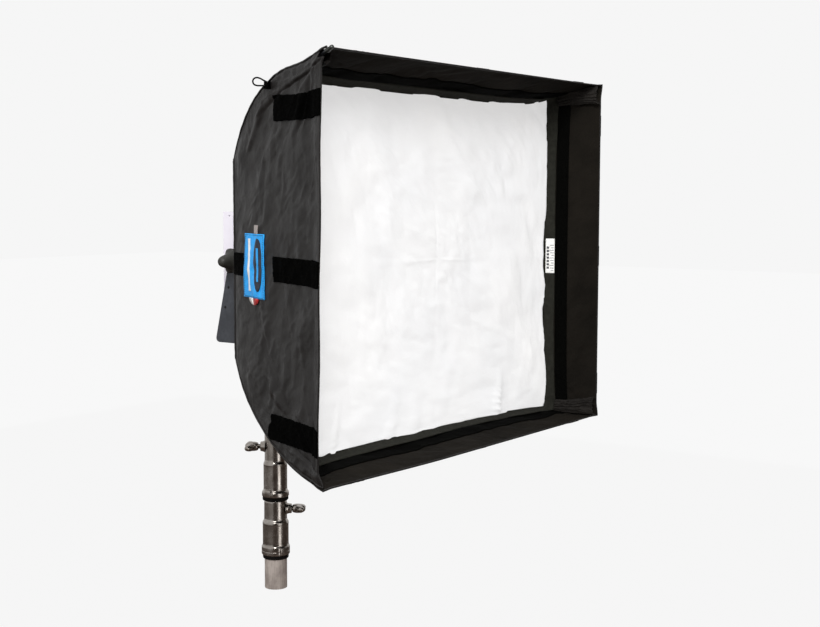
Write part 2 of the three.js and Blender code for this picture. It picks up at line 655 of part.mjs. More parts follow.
function addReceiver(turn) {
  const r = RECEIVER;
  add('riser_tube', upright(RISER_R, 18, 228).subtract(upright(RISER_R - 2.2, 17, 230)), 'tube');
  let body = lathe([
    [RISER_R + 0.4, r.base], [24.8, r.base], [24.8, r.rim - 1.2], [21.7, r.rim],
    [21.7, r.sleeve - 2.4], [19.4, r.sleeve], [19.4, r.top - 1.5], [18.4, r.top],
    [PIN_R + 0.4, r.top], [PIN_R + 0.4, 228.5], [RISER_R + 0.4, 228.5],
  ]);
  body = body.add(spoke(r.handle, turn, 14.8, 27, 9).subtract(upright(PIN_R + 0.4, 200, 320)));
  const lug = block(-7, 7, -27.4, -20, r.rim - 8, r.rim + 5).rotate([0, 0, -40]);
  body = body.add(lug).subtract(spoke(r.handle, turn, 8, 40, 5.1));
  add('receiver', body, 'casting');
  const ring = upright(24, r.base - 7, r.base - GAP).subtract(upright(RISER_R + 0.4, 150, 180));
  add('receiver_ring', ring, 'rubber');
  add('receiver_t_screw', tHandle(r.handle, turn, PIN_R + 0.5, 52), 'casting');
}

addPanels();
addTabs();
addLipTape();
addRearPanel();
addRods();
addSpeedRing();
addScreen();
addBaffle();
addTrim();
addHead();
addYoke();
addPivots();
addStand();

export default object;
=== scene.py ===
# Visual model of a studio softbox on its lamp head, yoke and stand top.
# Metres, +Z up, the white screen faces -Y, the stand axis is x = y = 0.
import bpy
import math
import numpy as np
from functools import partial
from mathutils import Matrix, Vector


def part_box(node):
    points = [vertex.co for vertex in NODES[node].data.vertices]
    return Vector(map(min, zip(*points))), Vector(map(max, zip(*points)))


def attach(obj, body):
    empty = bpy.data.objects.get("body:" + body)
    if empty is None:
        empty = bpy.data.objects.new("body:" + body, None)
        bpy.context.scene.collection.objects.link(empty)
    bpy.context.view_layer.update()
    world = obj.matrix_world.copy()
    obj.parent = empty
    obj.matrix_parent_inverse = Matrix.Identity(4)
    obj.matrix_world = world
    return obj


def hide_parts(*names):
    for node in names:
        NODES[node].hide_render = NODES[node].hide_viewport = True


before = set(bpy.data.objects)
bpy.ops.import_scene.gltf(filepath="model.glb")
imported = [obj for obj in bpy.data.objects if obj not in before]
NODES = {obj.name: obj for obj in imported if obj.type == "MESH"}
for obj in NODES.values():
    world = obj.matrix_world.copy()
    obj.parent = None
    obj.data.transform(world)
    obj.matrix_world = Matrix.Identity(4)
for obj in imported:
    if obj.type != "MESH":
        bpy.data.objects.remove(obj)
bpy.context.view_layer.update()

MM = 0.001
FRONT_Y = -0.452
CENTRE_Z = 0.621
HALF_W = 0.4065
HALF_H = 0.305
DEPTH = 0.325
SCREEN_D = 0.088
BAFFLE_D = 0.2
TOP_BOW, BOTTOM_BOW = 0.027, 0.013
TAPE_FROM, TAPE_TO, BAND_FROM = 0.0500, 0.0708, 0.0704
PIVOT = (-0.034, 0.612)
CLOTH = 0.0016
STAND_TURN = -54.7
WALLS = ("left", "right", "top", "bottom")
SIDES = ("left", "right")
CORNERS = (("top_left", -1, 1), ("top_right", 1, 1), ("bottom_left", -1, -1), ("bottom_right", 1, -1))
SIDE_TABS = (-0.2455, -0.0075, 0.231)
SIDE_TAB_ENDS = (0.1785, 0.1745, 0.1635)
TOP_TABS = (-0.325, 0.0, 0.325)
TAB_HALF = 0.0188
PLATE_X = 0.1221
KNOB_X = 0.1346
FLOOR_Z = -1.1
LIGHTS_AIM = (0, -0.2, 0.6)


# ---- camera --------------------------------------------------------------

def add_camera():
    yaw, pitch, roll = (math.radians(a) for a in (54.852, -5.012, 0.147))
    ahead = Vector((math.sin(yaw) * math.cos(pitch), math.cos(yaw) * math.cos(pitch), math.sin(pitch)))
    side = Vector((math.cos(yaw), -math.sin(yaw), 0))
    up = side.cross(ahead)
    right = side * math.cos(roll) + up * math.sin(roll)
    top = up * math.cos(roll) - side * math.sin(roll)
    turn = Matrix((right, top, -ahead)).transposed().to_4x4()
    data = bpy.data.cameras.new("camera")
    data.sensor_width = 36
    data.lens = 58.54
    data.clip_end = 60
    cam = bpy.data.objects.new("camera", data)
    cam.matrix_world = Matrix.Translation((-1.8409, FRONT_Y - 1.1471, CENTRE_Z + 0.102)) @ turn
    bpy.context.scene.collection.objects.link(cam)
    bpy.context.scene.camera = cam


# ---- smooth noise --------------------------------------------------------

def noise2(x, y, seed):
    """Gradient noise of two arrays, about -1 to 1."""
    x, y = np.broadcast_arrays(np.asarray(x, float), np.asarray(y, float))
    rng = np.random.default_rng(seed)
    perm = np.tile(rng.permutation(256), 3)
    turns = rng.random(256) * 2 * np.pi
    xi, yi = np.floor(x).astype(int), np.floor(y).astype(int)
    fx, fy = x - xi, y - yi
    sx, sy = fx * fx * fx * (fx * (fx * 6 - 15) + 10), fy * fy * fy * (fy * (fy * 6 - 15) + 10)

    def corner(i, j):
        a = turns[perm[perm[(xi + i) % 256] + (yi + j) % 256]]
        return np.cos(a) * (fx - i) + np.sin(a) * (fy - j)

    low = corner(0, 0) + sx * (corner(1, 0) - corner(0, 0))
    high = corner(0, 1) + sx * (corner(1, 1) - corner(0, 1))
    return 1.5 * (low + sy * (high - low))


def layered(x, y, seed, octaves=3, gain=0.5):
    return sum(gain ** k * noise2(x * 2 ** k, y * 2 ** k, seed + k) for k in range(octaves))


def ridges(x, y, seed):
    """Sharp creases at 1, falling off to 0."""
    return np.clip(1 - 2.4 * np.abs(noise2(x, y, seed)), 0, 1) ** 1.6


def crumple(x, y, seed):
    """Height of flat facets that meet in sharp creases, about -1 to 1."""
    x, y = x + 0.4 * noise2(x * 0.6, y * 0.6, seed + 70), y + 0.4 * noise2(x * 0.6, y * 0.6, seed + 71)
    rng = np.random.default_rng(seed)
    perm = np.tile(rng.permutation(256), 3)
    high = rng.uniform(-1, 1, 256)
    u, v = x + 0.577 * y, 1.155 * y
    ui, vi = np.floor(u).astype(int), np.floor(v).astype(int)
    fu, fv = u - ui, v - vi

    def at(i, j):
        return high[perm[perm[(ui + i) % 256] + (vi + j) % 256]]

    near = at(0, 0) + fu * (at(1, 0) - at(0, 0)) + fv * (at(0, 1) - at(0, 0))
    far = at(1, 1) + (1 - fu) * (at(0, 1) - at(1, 1)) + (1 - fv) * (at(1, 0) - at(1, 1))
    return np.where(fu + fv > 1, far, near)


def smooth(a, b, x):
    t = np.clip((x - a) / (b - a), 0, 1)
    return t * t * (3 - 2 * t)


# ---- meshes --------------------------------------------------------------

def place(name, verts, faces, materials, body, face_mats=None):
    """A smooth-shaded mesh that rides on a body, with its materials."""
    mesh = bpy.data.meshes.new(name)
    points = np.asarray([tuple(v) for v in verts], np.float32) if not isinstance(verts, np.ndarray) else verts
    if isinstance(faces, np.ndarray):
        sizes, loops = np.full(len(faces), faces.shape[1], np.int32), faces.ravel()
    else:
        sizes = np.array([len(f) for f in faces], np.int32)
        loops = np.fromiter((i for f in faces for i in f), np.int32)
    mesh.vertices.add(len(points))
    mesh.vertices.foreach_set("co", np.ascontiguousarray(points, np.float32).ravel())
    mesh.loops.add(len(loops))
    mesh.loops.foreach_set("vertex_index", np.ascontiguousarray(loops, np.int32))
    mesh.polygons.add(len(sizes))
    mesh.polygons.foreach_set("loop_start", np.concatenate([[0], np.cumsum(sizes)[:-1]]).astype(np.int32))
    mesh.polygons.foreach_set("loop_total", sizes)
    for m in materials if isinstance(materials, (list, tuple)) else [materials]:
        mesh.materials.append(m)
    if face_mats is not None:
        mesh.polygons.foreach_set("material_index", np.asarray(face_mats, np.int32))
    mesh.polygons.foreach_set("use_smooth", [True] * len(sizes))
    mesh.update(calc_edges=True)
    mesh.validate()
    obj = bpy.data.objects.new(name, mesh)
    bpy.context.scene.collection.objects.link(obj)
    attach(obj, body)
    return obj


def grid_faces(n, m, start=0, flip=False):
    i, j = np.meshgrid(np.arange(n - 1), np.arange(m - 1), indexing="ij")
    a = start + i * m + j
    quads = np.stack([a, a + 1, a + m + 1, a + m], axis=-1).reshape(-1, 4)
    return quads[:, ::-1] if flip else quads


def slab(upper, lower, flip=False):
    """A closed body between two grids of points of the same shape."""
    n, m = upper.shape[:2]
    count = n * m
    ring = [i * m for i in range(n)] + [(n - 1) * m + j for j in range(1, m)]
    ring += [i * m + m - 1 for i in range(n - 2, -1, -1)] + [j for j in range(m - 2, 0, -1)]
    faces = [grid_faces(n, m, 0, flip), grid_faces(n, m, count, not flip)]
    a = np.array(ring)
    b = np.roll(a, -1)
    walls = np.stack([a, b, b + count, a + count], axis=-1)
    faces.append(walls[:, ::-1] if flip else walls)
    return np.concatenate([upper.reshape(-1, 3), lower.reshape(-1, 3)]), np.concatenate(faces)


def tube_mesh(points, radius, sides=12, closed=False):
    """Rings of points round a line, with capped ends unless it closes on itself."""
    p = np.asarray(points, float)
    n = len(p)
    t = (np.roll(p, -1, 0) - np.roll(p, 1, 0)) if closed else np.gradient(p, axis=0)
    t /= np.linalg.norm(t, axis=1)[:, None]
    r = np.broadcast_to(np.asarray(radius, float), (n,))
    normal = np.cross(t[0], (0.3, 0.5, 0.8))
    verts = []
    for k in range(n):
        normal = normal - t[k] * np.dot(normal, t[k])
        normal /= np.linalg.norm(normal)
        other = np.cross(t[k], normal)
        a = np.arange(sides) * 2 * np.pi / sides
        verts.append(p[k] + r[k] * (np.cos(a)[:, None] * normal + np.sin(a)[:, None] * other))
    verts = np.concatenate(verts)
    faces = []
    for k in range(n if closed else n - 1):
        for i in range(sides):
            j, q = (i + 1) % sides, ((k + 1) % n) * sides
            faces.append((k * sides + i, k * sides + j, q + j, q + i))
    if not closed:
        faces.append(tuple(range(sides))[::-1])
        faces.append(tuple((n - 1) * sides + i for i in range(sides)))
    return verts, faces


def curve_points(points, steps):
    """A smooth line through points, with equal steps along it."""
    p = np.asarray(points, float)
    ends = np.concatenate([[2 * p[0] - p[1]], p, [2 * p[-1] - p[-2]]])
    out = []
    for k in range(len(p) - 1):
        a, b, c, d = ends[k:k + 4]
        s = np.linspace(0, 1, 24, endpoint=False)[:, None]
        out.append(0.5 * (2 * b + (c - a) * s + (2 * a - 5 * b + 4 * c - d) * s ** 2
                          + (3 * b - a - 3 * c + d) * s ** 3))
    line = np.concatenate(out + [p[-1:]])
    along = np.concatenate([[0], np.cumsum(np.linalg.norm(np.diff(line, axis=0), axis=1))])
    at = np.linspace(0, along[-1], steps)
    return np.stack([np.interp(at, along, line[:, k]) for k in range(3)], axis=1)


def turned(name, outline, materials, body, origin=(0, 0, 0), axis=(0, 0, 1), segments=96, closed=False):
    """A lathe body: outline is [radius, distance along the axis] pairs, in metres."""
    way = Vector(axis).normalized()
    turn = Vector((0, 0, 1)).rotation_difference(way)
    verts, faces, first = [], [], []
    for r, h in outline:
        first.append(len(verts))
        for i in range(1 if r < 1e-9 else segments):
            a = 2 * math.pi * i / segments
            verts.append(turn @ Vector((r * math.cos(a), r * math.sin(a), h)) + Vector(origin))
    rings = list(range(len(outline)))
    pairs = list(zip(rings, rings[1:])) + ([(rings[-1], rings[0])] if closed else [])
    for a, b in pairs:
        wide_a, wide_b = outline[a][0] >= 1e-9, outline[b][0] >= 1e-9
        for i in range(segments):
            j = (i + 1) % segments
            if wide_a and wide_b:
                faces.append((first[a] + i, first[a] + j, first[b] + j, first[b] + i))
            elif wide_a:
                faces.append((first[a] + i, first[a] + j, first[b]))
            elif wide_b:
                faces.append((first[a], first[b] + j, first[b] + i))
    return place(name, verts, faces, materials, body)


def rounded_outline(points, radius, steps=5):
    """The same outline with each inner corner rounded; a point may state its own radius."""
    out = [points[0][:2]]
    for k in range(1, len(points) - 1):
        a, b, c = (np.array(points[i][:2], float) for i in (k - 1, k, k + 1))
        r = points[k][2] if len(points[k]) > 2 else radius
        ab, cb = a - b, c - b
        la, lc = np.linalg.norm(ab), np.linalg.norm(cb)
        r = min(r, 0.45 * la, 0.45 * lc)
        p, q = b + ab / la * r, b + cb / lc * r
        for s in np.linspace(0, 1, steps):
            out.append(tuple((1 - s) ** 2 * p + 2 * s * (1 - s) * b + s ** 2 * q))
    out.append(points[-1][:2])
    return out


def joined(name, parts, materials, body):
    """One mesh of several lists of points and faces."""
    verts, faces, start = [], [], 0
    for v, f in parts:
        verts.append(np.asarray([tuple(p) for p in v], float))
        faces += [tuple(int(i) + start for i in q) for q in f]
        start += len(v)
    return place(name, np.concatenate(verts), faces, materials, body)


def modifier(obj, kind, **values):
    m = obj.modifiers.new(kind.lower(), kind)
    for key, value in values.items():
        setattr(m, key, value)


def soften(obj, width):
    modifier(obj, "BEVEL", width=width, segments=2, limit_method="ANGLE", angle_limit=math.radians(35))
    modifier(obj, "WEIGHTED_NORMAL", keep_sharp=True)


# ---- materials -----------------------------------------------------------

def srgb(r, g, b):
    def line(v):
        v /= 255
        return v / 12.92 if v <= 0.04045 else ((v + 0.055) / 1.055) ** 2.4
    return (line(r), line(g), line(b), 1)


class Paint:
    """A material built from a principled shader with noise, colour and bump nodes."""

    def __init__(self, name, rough, metal=0.0, **sockets):
        self.mat = bpy.data.materials.new(name)
        self.mat.use_nodes = True
        self.tree = self.mat.node_tree
        self.shader = self.tree.nodes["Principled BSDF"]
        self.set(self.shader, Roughness=rough, Metallic=metal, **sockets)
        self.coords = self.tree.nodes.new("ShaderNodeTexCoord").outputs["Object"]
        self.last_normal = None

    def set(self, node, **sockets):
        for key, value in sockets.items():
            node.inputs[key.replace("_", " ")].default_value = value

    def link(self, a, b):
        self.tree.links.new(a, b)

    def texture(self, kind, stretch=None, **sockets):
        """A texture node of the object's own coordinates, which may be stretched."""
        n = self.tree.nodes.new(kind)
        self.set(n, **sockets)
        coords = self.coords
        if stretch:
            m = self.tree.nodes.new("ShaderNodeMapping")
            self.set(m, Scale=stretch)
            self.link(coords, m.inputs["Vector"])
            coords = m.outputs["Vector"]
        self.link(coords, n.inputs["Vector"])
        return n

    def noise(self, scale, detail=4, rough=0.55, distortion=0.0, stretch=None):
        return self.texture("ShaderNodeTexNoise", stretch, Scale=scale, Detail=detail, Roughness=rough,
                            Distortion=distortion).outputs["Fac"]

    def wave(self, scale, direction, distortion=0.0):
        w = self.texture("ShaderNodeTexWave", Scale=scale, Distortion=distortion, Detail=1)
        w.bands_direction = direction
        return w.outputs["Fac"]

    def cells(self, scale):
        return self.texture("ShaderNodeTexVoronoi", Scale=scale).outputs["Distance"]

    def ramp(self, value, stops):
        r = self.tree.nodes.new("ShaderNodeValToRGB")
        while len(r.color_ramp.elements) < len(stops):
            r.color_ramp.elements.new(0.5)
        for element, (at, color) in zip(r.color_ramp.elements, stops):
            element.position = at
            element.color = color if hasattr(color, "__len__") else (color, color, color, 1)
        self.link(value, r.inputs["Fac"])
        return r.outputs["Color"]

    def math(self, kind, a, b):
        m = self.tree.nodes.new("ShaderNodeMath")
        m.operation = kind
        self.link(a, m.inputs[0])
        if isinstance(b, (int, float)):
            m.inputs[1].default_value = b
        else:
            self.link(b, m.inputs[1])
        return m.outputs[0]

    def bump(self, height, strength, distance):
        b = self.tree.nodes.new("ShaderNodeBump")
        self.set(b, Strength=strength, Distance=distance)
        self.link(height, b.inputs["Height"])
        if self.last_normal:
            self.link(self.last_normal, b.inputs["Normal"])
        self.last_normal = b.outputs["Normal"]
        self.link(self.last_normal, self.shader.inputs["Normal"])

    def color(self, value, stops):
        self.set(self.shader, Base_Color=stops[len(stops) // 2][1])
        self.link(self.ramp(value, stops), self.shader.inputs["Base Color"])

    def rough(self, value, low, high):
        self.link(self.ramp(value, [(0.3, low), (0.7, high)]), self.shader.inputs["Roughness"])

    def weave(self, scale, strength, distance):
        a, b, c = (self.wave(scale, way, 0.3) for way in "XZY")
        self.bump(self.math("ADD", self.math("MULTIPLY", a, b), c), strength, distance)


def paint(name, rough, tone, stops, *bumps, metal=0.0, over=None, share=None, vary=None, weave=None, **sockets):
    """One material.

    tone is the noise behind its colour; over is a second noise, added by its share or multiplied.
    stops are the colours, each with its place on the ramp, or two without; four values are linear.
    A bump is its noise, strength and distance; vary is the noise, low and high of the roughness.
    """
    p = Paint(name, rough, metal, **sockets)
    value = p.noise(*tone) if isinstance(tone, tuple) else p.wave(tone, "Z")
    if over:
        second = p.noise(*over)
        value = p.math("ADD", value, p.math("MULTIPLY", second, share)) if share else \
            p.math("MULTIPLY", value, second)
    if len(stops[0]) == 3:
        stops = [(at, *rgb) for at, rgb in zip((0.3, 0.7), stops)]
    p.color(value, [(at, rgb if len(rgb) == 4 else srgb(*rgb)) for at, *rgb in stops])
    if vary:
        p.rough(p.noise(*vary[:-2]), *vary[-2:])
    for *noise, strength, distance in bumps:
        p.bump(p.noise(*noise), strength, distance)
    if weave:
        p.weave(*weave)
    return p


CLOTH_WEAVE = (900, 0.3, 0.00012)
LABEL_WEAVE = (700, 0.5, 0.0002)
FINE_WEAVE = (900, 0.3, 0.0001)


def make_materials():
    """Each surface as a ready Paint, by its short name."""
    m = {
        "cloth": paint("cloth", 0.54, (9, 5, 0.6), [(0.35, 17, 15, 14), (0.6, 22, 20, 19), (0.85, 28, 26, 25)],
                       (26, 4, 0.55, 1.0, 0.4, 0.0014), (110, 4, 0.6, 0.8, 0.35, 0.0005), over=(60, 3, 0.6),
                       share=0.25, vary=(30, 3, 0.44, 0.6), weave=CLOTH_WEAVE, Specular_IOR_Level=0.21),
        "lip": paint("lip_cloth", 0.9, (14, 4), [(18, 16, 13), (28, 25, 21)], (45, 5, 0.6, 1.2, 0.8, 0.0016),
                     weave=CLOTH_WEAVE, Specular_IOR_Level=0.06),
        "pocket": paint("pocket_cloth", 0.75, (30, 4), [(20, 18, 16), (34, 31, 28)],
                        (70, 4, 0.55, 0.8, 0.4, 0.0008), weave=CLOTH_WEAVE, Specular_IOR_Level=0.15),
        "lining": paint("lining", 0.42, (24, 5, 0.6), [(172, 174, 178), (214, 216, 219)],
                        (55, 5, 0.6, 1.0, 0.6, 0.0016), metal=0.75, vary=(60, 3, 0.34, 0.5)),
        "tape": paint("touch_tape", 0.98, (620, 4, 0.75),
                      [(0.12, 0.0002, 0.0002, 0.0002, 1), (0.3, 0.0006, 0.0006, 0.0005, 1),
                       (0.5, 0.004, 0.004, 0.0035, 1)],
                      (190, 4, 0.7, 0.5, 0.0010), (700, 4, 0.8, 0.8, 0.0008), over=(190, 3, 0.7),
                      Specular_IOR_Level=0.02),
        "hook": paint("hook_tape", 0.9, (650, 3), [(0.35, 0.0006, 0.0006, 0.0005, 1),
                                                   (0.7, 0.0026, 0.0026, 0.0022, 1)], Specular_IOR_Level=0.02),
        # Painted light: the screen cloth glows by its emission, standing in for the light that falls on it. The inner
        # baffle shares this material and glows too.
        "screen": paint("screen", 0.9, (5, 3), [(186, 187, 189), (195, 195, 195)], (16, 3, 0.5, 0.6, 0.15, 0.0012),
                        weave=(1100, 0.2, 0.0001), Specular_IOR_Level=0.1, Emission_Color=(1, 1, 1, 1),
                        Emission_Strength=0.49),
        "border": paint("border", 0.9, (120, 4, 0.6), [(32, 32, 28), (42, 42, 37)], weave=(420, 0.6, 0.0003),
                        Specular_IOR_Level=0.08),
        "blue": paint("label_blue", 0.5, (240, 4), [(14, 150, 238), (40, 178, 252)], weave=LABEL_WEAVE,
                      Specular_IOR_Level=0.35),
        "blue_dark": paint("label_dark", 0.6, (260, 3), [(8, 18, 34), (16, 34, 60)], weave=LABEL_WEAVE),
        "white": paint("label_white", 0.7, (200, 3), [(226, 226, 222), (244, 244, 241)], weave=FINE_WEAVE),
        "print": paint("label_print", 0.7, (900, 2, 0.7), [(0.42, 112, 114, 118), (0.6, 206, 207, 208)],
                       (900, 2, 0.1, 0.0001)),
        "print_dark": paint("label_print_dark", 0.7, (700, 2, 0.7), [(0.4, 34, 34, 40), (0.6, 96, 96, 102)],
                            (900, 2, 0.1, 0.0001)),
        "red": paint("label_red", 0.6, (300, 3), [(176, 36, 40), (214, 62, 62)], weave=FINE_WEAVE),
        "stripe": paint("label_grey", 0.7, 240, [(0.4, 60, 56, 62), (0.6, 206, 196, 190)], (600, 2, 0.2, 0.0001)),
        "cord": paint("cord", 0.9, (500, 3), [(5, 5, 5), (15, 15, 14)], Specular_IOR_Level=0.05),
        "thread": paint("thread", 0.8, (700, 2), [(24, 24, 24), (50, 49, 48)]),
        "rod": paint("rod", 0.35, (90, 4, 0.6, 0, (1, 0.1, 1)), [(52, 54, 58), (84, 86, 90)],
                     (400, 3, 0.1, 0.0002), metal=0.85),
        "steel": paint("steel", 0.32, (60, 5, 0.65), [(146, 147, 149), (190, 191, 193)], (500, 3, 0.08, 0.0002),
                       metal=1.0, vary=(140, 4, 0.24, 0.42)),
        "gunmetal": paint("gunmetal", 0.42, (160, 4), [(56, 58, 56), (92, 95, 92)], (500, 3, 0.15, 0.0002),
                          metal=0.85),
        "ring": paint("ring", 0.42, (70, 5, 0.6), [(124, 128, 133), (160, 163, 168)],
                      (260, 4, 0.6, 0, (0.1, 1, 1), 0.2, 0.0003), metal=0.95),
        "white_paint": paint("white_paint", 0.42, (11, 5, 0.6), [(226, 221, 233), (238, 235, 243)],
                             (900, 3, 0.6, 0.25, 0.00025), vary=(90, 4, 0.36, 0.5), Coat_Weight=0.15),
        "heatsink": paint("heatsink", 0.45, (50, 4), [(30, 32, 34), (46, 48, 50)],
                          (700, 3, 0.6, 0, (1, 1, 0.1), 0.2, 0.0002), metal=0.7),
        "plastic": paint("plastic", 0.55, (40, 4), [(25, 26, 27), (38, 39, 40)], (1100, 3, 0.6, 0.35, 0.0003)),
        "emitter": paint("emitter", 0.45, (260, 3), [(222, 190, 92), (242, 222, 150)], (800, 2, 0.2, 0.0002)),
        "window": paint("window", 0.12, (30, 3), [(12, 16, 20), (24, 29, 34)], (300, 2, 0.03, 0.0002),
                        Coat_Weight=0.5),
        "yoke": paint("yoke_paint", 0.5, (28, 6, 0.62, 0.4),
                      [(0.4, 40, 43, 48), (0.66, 50, 53, 59), (0.92, 66, 69, 75)],
                      (60, 4, 0.25, 0.0006), (900, 3, 0.3, 0.0002), metal=0.25, over=(240, 4, 0.7), share=0.35,
                      vary=(80, 4, 0.42, 0.62), Coat_Weight=0.1),
        "knob": paint("knob", 0.6, (60, 4), [(32, 32, 28), (48, 47, 42)], (620, 3, 0.6, 0.5, 0.0005),
                      vary=(150, 3, 0.5, 0.7)),
        "casting": paint("casting", 0.24, (34, 5, 0.6, 0.8),
                         [(0.35, 122, 115, 108), (0.62, 143, 137, 131), (0.86, 164, 159, 154)],
                         (60, 3, 0.5, 0.1, 0.0004), (500, 3, 0.6, 0.05, 0.0001), metal=1.0, over=(210, 4, 0.7),
                         share=0.3, vary=(60, 4, 0.6, 0.18, 0.3)),
        "tube": paint("tube", 0.5, (300, 5, 0.7, 0, (1, 1, 0.12)),
                      [(0.12, 140, 130, 124), (0.3, 188, 178, 171), (0.5, 208, 199, 193)],
                      (500, 4, 0.6, 0, (1, 1, 0.1), 0.15, 0.0002), metal=0.3, over=(40, 4, 0.6),
                      vary=(130, 4, 0.42, 0.62)),
        "rubber": paint("rubber", 0.9, (90, 4), [(8, 7, 6), (19, 17, 15)], (900, 3, 0.3, 0.0003),
                        Specular_IOR_Level=0.1),
        "lens": Paint("lens", 0.12, Base_Color=srgb(222, 230, 234), Transmission_Weight=0.85, IOR=1.46),
        # Painted shade: near-black for the inside of the yoke arm's holes, which look dark because they lie in shade.
        "hole": Paint("hole", 0.9, Base_Color=srgb(8, 8, 8)),
    }
    m["hook"].bump(m["hook"].cells(700), 0.6, 0.0006)
    m["cord"].bump(m["cord"].wave(520, "DIAGONAL", 1.0), 0.8, 0.0004)
    m["thread"].bump(m["thread"].wave(1500, "DIAGONAL"), 0.6, 0.0002)
    m["lens"].bump(m["lens"].noise(220, 2), 0.04, 0.0002)
    m["hole"].bump(m["hole"].noise(500, 2), 0.1, 0.0002)
    return {key: p.mat for key, p in m.items()}


M = make_materials()


# ---- the bank's form -----------------------------------------------------

def half_width(d):
    u = d / DEPTH
    return HALF_W * (1 - 0.36 * u - 0.05 * u ** 5)


def half_height(d):
    return HALF_H * (1 - 0.471 * np.clip(d / DEPTH, 0, 2) ** 2.3)


def half_across(wall, d):
    """Half the run of a wall's edge line at depth d."""
    return half_height(d) if wall in SIDES else half_width(d)


def side_bow(d):
    return 0.009 * np.sin(np.pi * np.clip(d / DEPTH, 0, 1))


def pull(d):
    """How much of its bow a top or bottom wall has at depth d; most where the screen pulls."""
    ahead = np.clip(d / SCREEN_D, 0, 1)
    behind = np.clip((d - SCREEN_D) / (DEPTH - SCREEN_D), 0, 1)
    return (1 - (1 - ahead) ** 1.2) * np.cos(np.pi / 2 * behind)


def sag(d):
    """How far the upper side seams hang below their straight run between rod tips and rear."""
    return 0.0102 * np.exp(-((d - 0.074) / 0.052) ** 2) * smooth(0, 0.03, d) - \
        0.0065 * np.exp(-((d - 0.235) / 0.06) ** 2)


def folds(d, t, list_of_folds):
    """Long soft folds, each from (d, t) to (d, t) with a width and a height, in mm."""
    out = np.zeros(np.broadcast(d, t).shape)
    for d0, t0, d1, t1, width, height in list_of_folds:
        a, b = np.array((d0, t0)) * MM, np.array((d1, t1)) * MM
        way = b - a
        long = np.linalg.norm(way)
        way /= long
        bend = 0.006 * noise2(d * 9 + d0, t * 9 + t0, 91)
        s = (d - a[0]) * way[0] + (t - a[1]) * way[1]
        q = (d - a[0]) * -way[1] + (t - a[1]) * way[0] + bend
        w = width * MM * (0.55 + 0.45 * np.sin(np.pi * np.clip(s / long, 0, 1)))
        body = np.exp(-(q / w) ** 2) - 0.45 * np.exp(-((q - 1.9 * w) / (1.3 * w)) ** 2)
        fade = smooth(-0.15, 0.22, s / long) * (1 - smooth(0.78, 1.15, s / long))
        out += height * MM * body * fade
    return out


def wall_folds(wall):
    """Folds that fan out of the corners and drape between them: d, t to d, t, width and height, in mm."""
    rng = np.random.default_rng({"left": 7, "right": 19, "top": 31, "bottom": 43}[wall])
    half = half_across(wall, 0) / MM
    rows = []

    def row(d, t, way, long, width, height):
        rows.append((d, t, d + long * math.cos(way), t + long * math.sin(way), width, height))

    for end in (-1, 1):
        for k in range(5):
            way = -end * math.radians(rng.uniform(28, 76))
            row(10 + 5 * k, end * (half - 6 - 3 * k), way, rng.uniform(45, 130), rng.uniform(4, 7),
                rng.uniform(1.3, 2.0) * (1, -1, 1)[k % 3])
        for k in range(4):
            way = math.pi - end * math.radians(rng.uniform(24, 52))
            row(rng.uniform(190, 265), end * half * rng.uniform(0.35, 0.72), way, rng.uniform(80, 125),
                rng.uniform(6, 10), rng.uniform(1.5, 2.2) * (1, -1)[k % 2])
    for k in range(8):
        way = -math.pi / 2 - math.radians(rng.uniform(-8, 30))
        row(50 + 30 * k + rng.uniform(-12, 12), half * rng.uniform(-0.35, 0.6), way, rng.uniform(60, 140),
            rng.uniform(7, 12), rng.uniform(1.1, 1.9) * (1, 1, -1)[k % 3])
    return rows


def wall_relief(wall, d, t):
    """How far the cloth of a wall stands out from its plain form, in metres."""
    seed = {"left": 11, "right": 23, "top": 37, "bottom": 51}[wall]
    edge = np.maximum(half_across(wall, d) - np.abs(t), 0)
    front, rear = np.maximum(d, 0), np.maximum(DEPTH - d, 0)
    calm = smooth(0.004, 0.03, edge) * smooth(0.0, 0.016, front) * smooth(0, 0.02, rear)
    warp = noise2(d * 9, t * 6, seed + 9)
    relief = 0.0018 * noise2(d * 8 + 0.4 * warp, t * 3.2, seed)
    relief += 0.0009 * noise2(d * 19 + warp, t * 6.5 + 0.5 * warp, seed + 1)
    relief += 0.0005 * ridges(d * 11 + 1.5 * warp, t * 8 - warp, seed + 3)
    relief += 0.0033 * crumple(d * 20 + t * 3, t * 9 - d * 4, seed + 13)
    relief += 0.0014 * crumple(d * 46 - t * 12, t * 26 + d * 12, seed + 14)
    relief += 0.0005 * crumple(d * 95 + t * 30, t * 70, seed + 16)
    relief += 0.00022 * layered(d * 60, t * 50, seed + 5, 2)
    relief += 1.15 * folds(d, t, wall_folds(wall))
    pucker = np.exp(-edge / 0.02) * smooth(0.001, 0.006, edge) * smooth(0.0, 0.02, rear)
    gather = noise2(d * 70, edge * 20, seed + 6) + 0.5 * noise2(d * 140, edge * 30, seed + 7)
    hem = np.exp(-((d - 0.0125) / 0.0012) ** 2)
    relief = relief * calm + 0.0012 * pucker * gather - 0.0004 * hem
    relief = np.where(relief < 0, -0.0022 * np.tanh(-relief / 0.0022), relief)
    if wall in SIDES:
        relief = relief + rod_sleeve(d, edge, front, seed)
    return relief


def rod_sleeve(d, edge, front, seed):
    """The sewn channel along each edge of a side wall that covers the rod."""
    wide = 0.018 + 0.11 * np.clip(d, 0, 0.12)
    on = smooth(wide, wide - 0.006, edge) * smooth(0.28, 0.14, d)
    groove = np.exp(-((edge - wide) / 0.0014) ** 2) * smooth(0.24, 0.12, d)
    lines = ridges(d * 24 + edge * 46, edge * 30 - d * 16, seed + 21)
    return (0.0020 * on * smooth(0, 0.007, edge) + 0.0011 * on * lines - 0.0018 * groove) * smooth(0, 0.008, front)


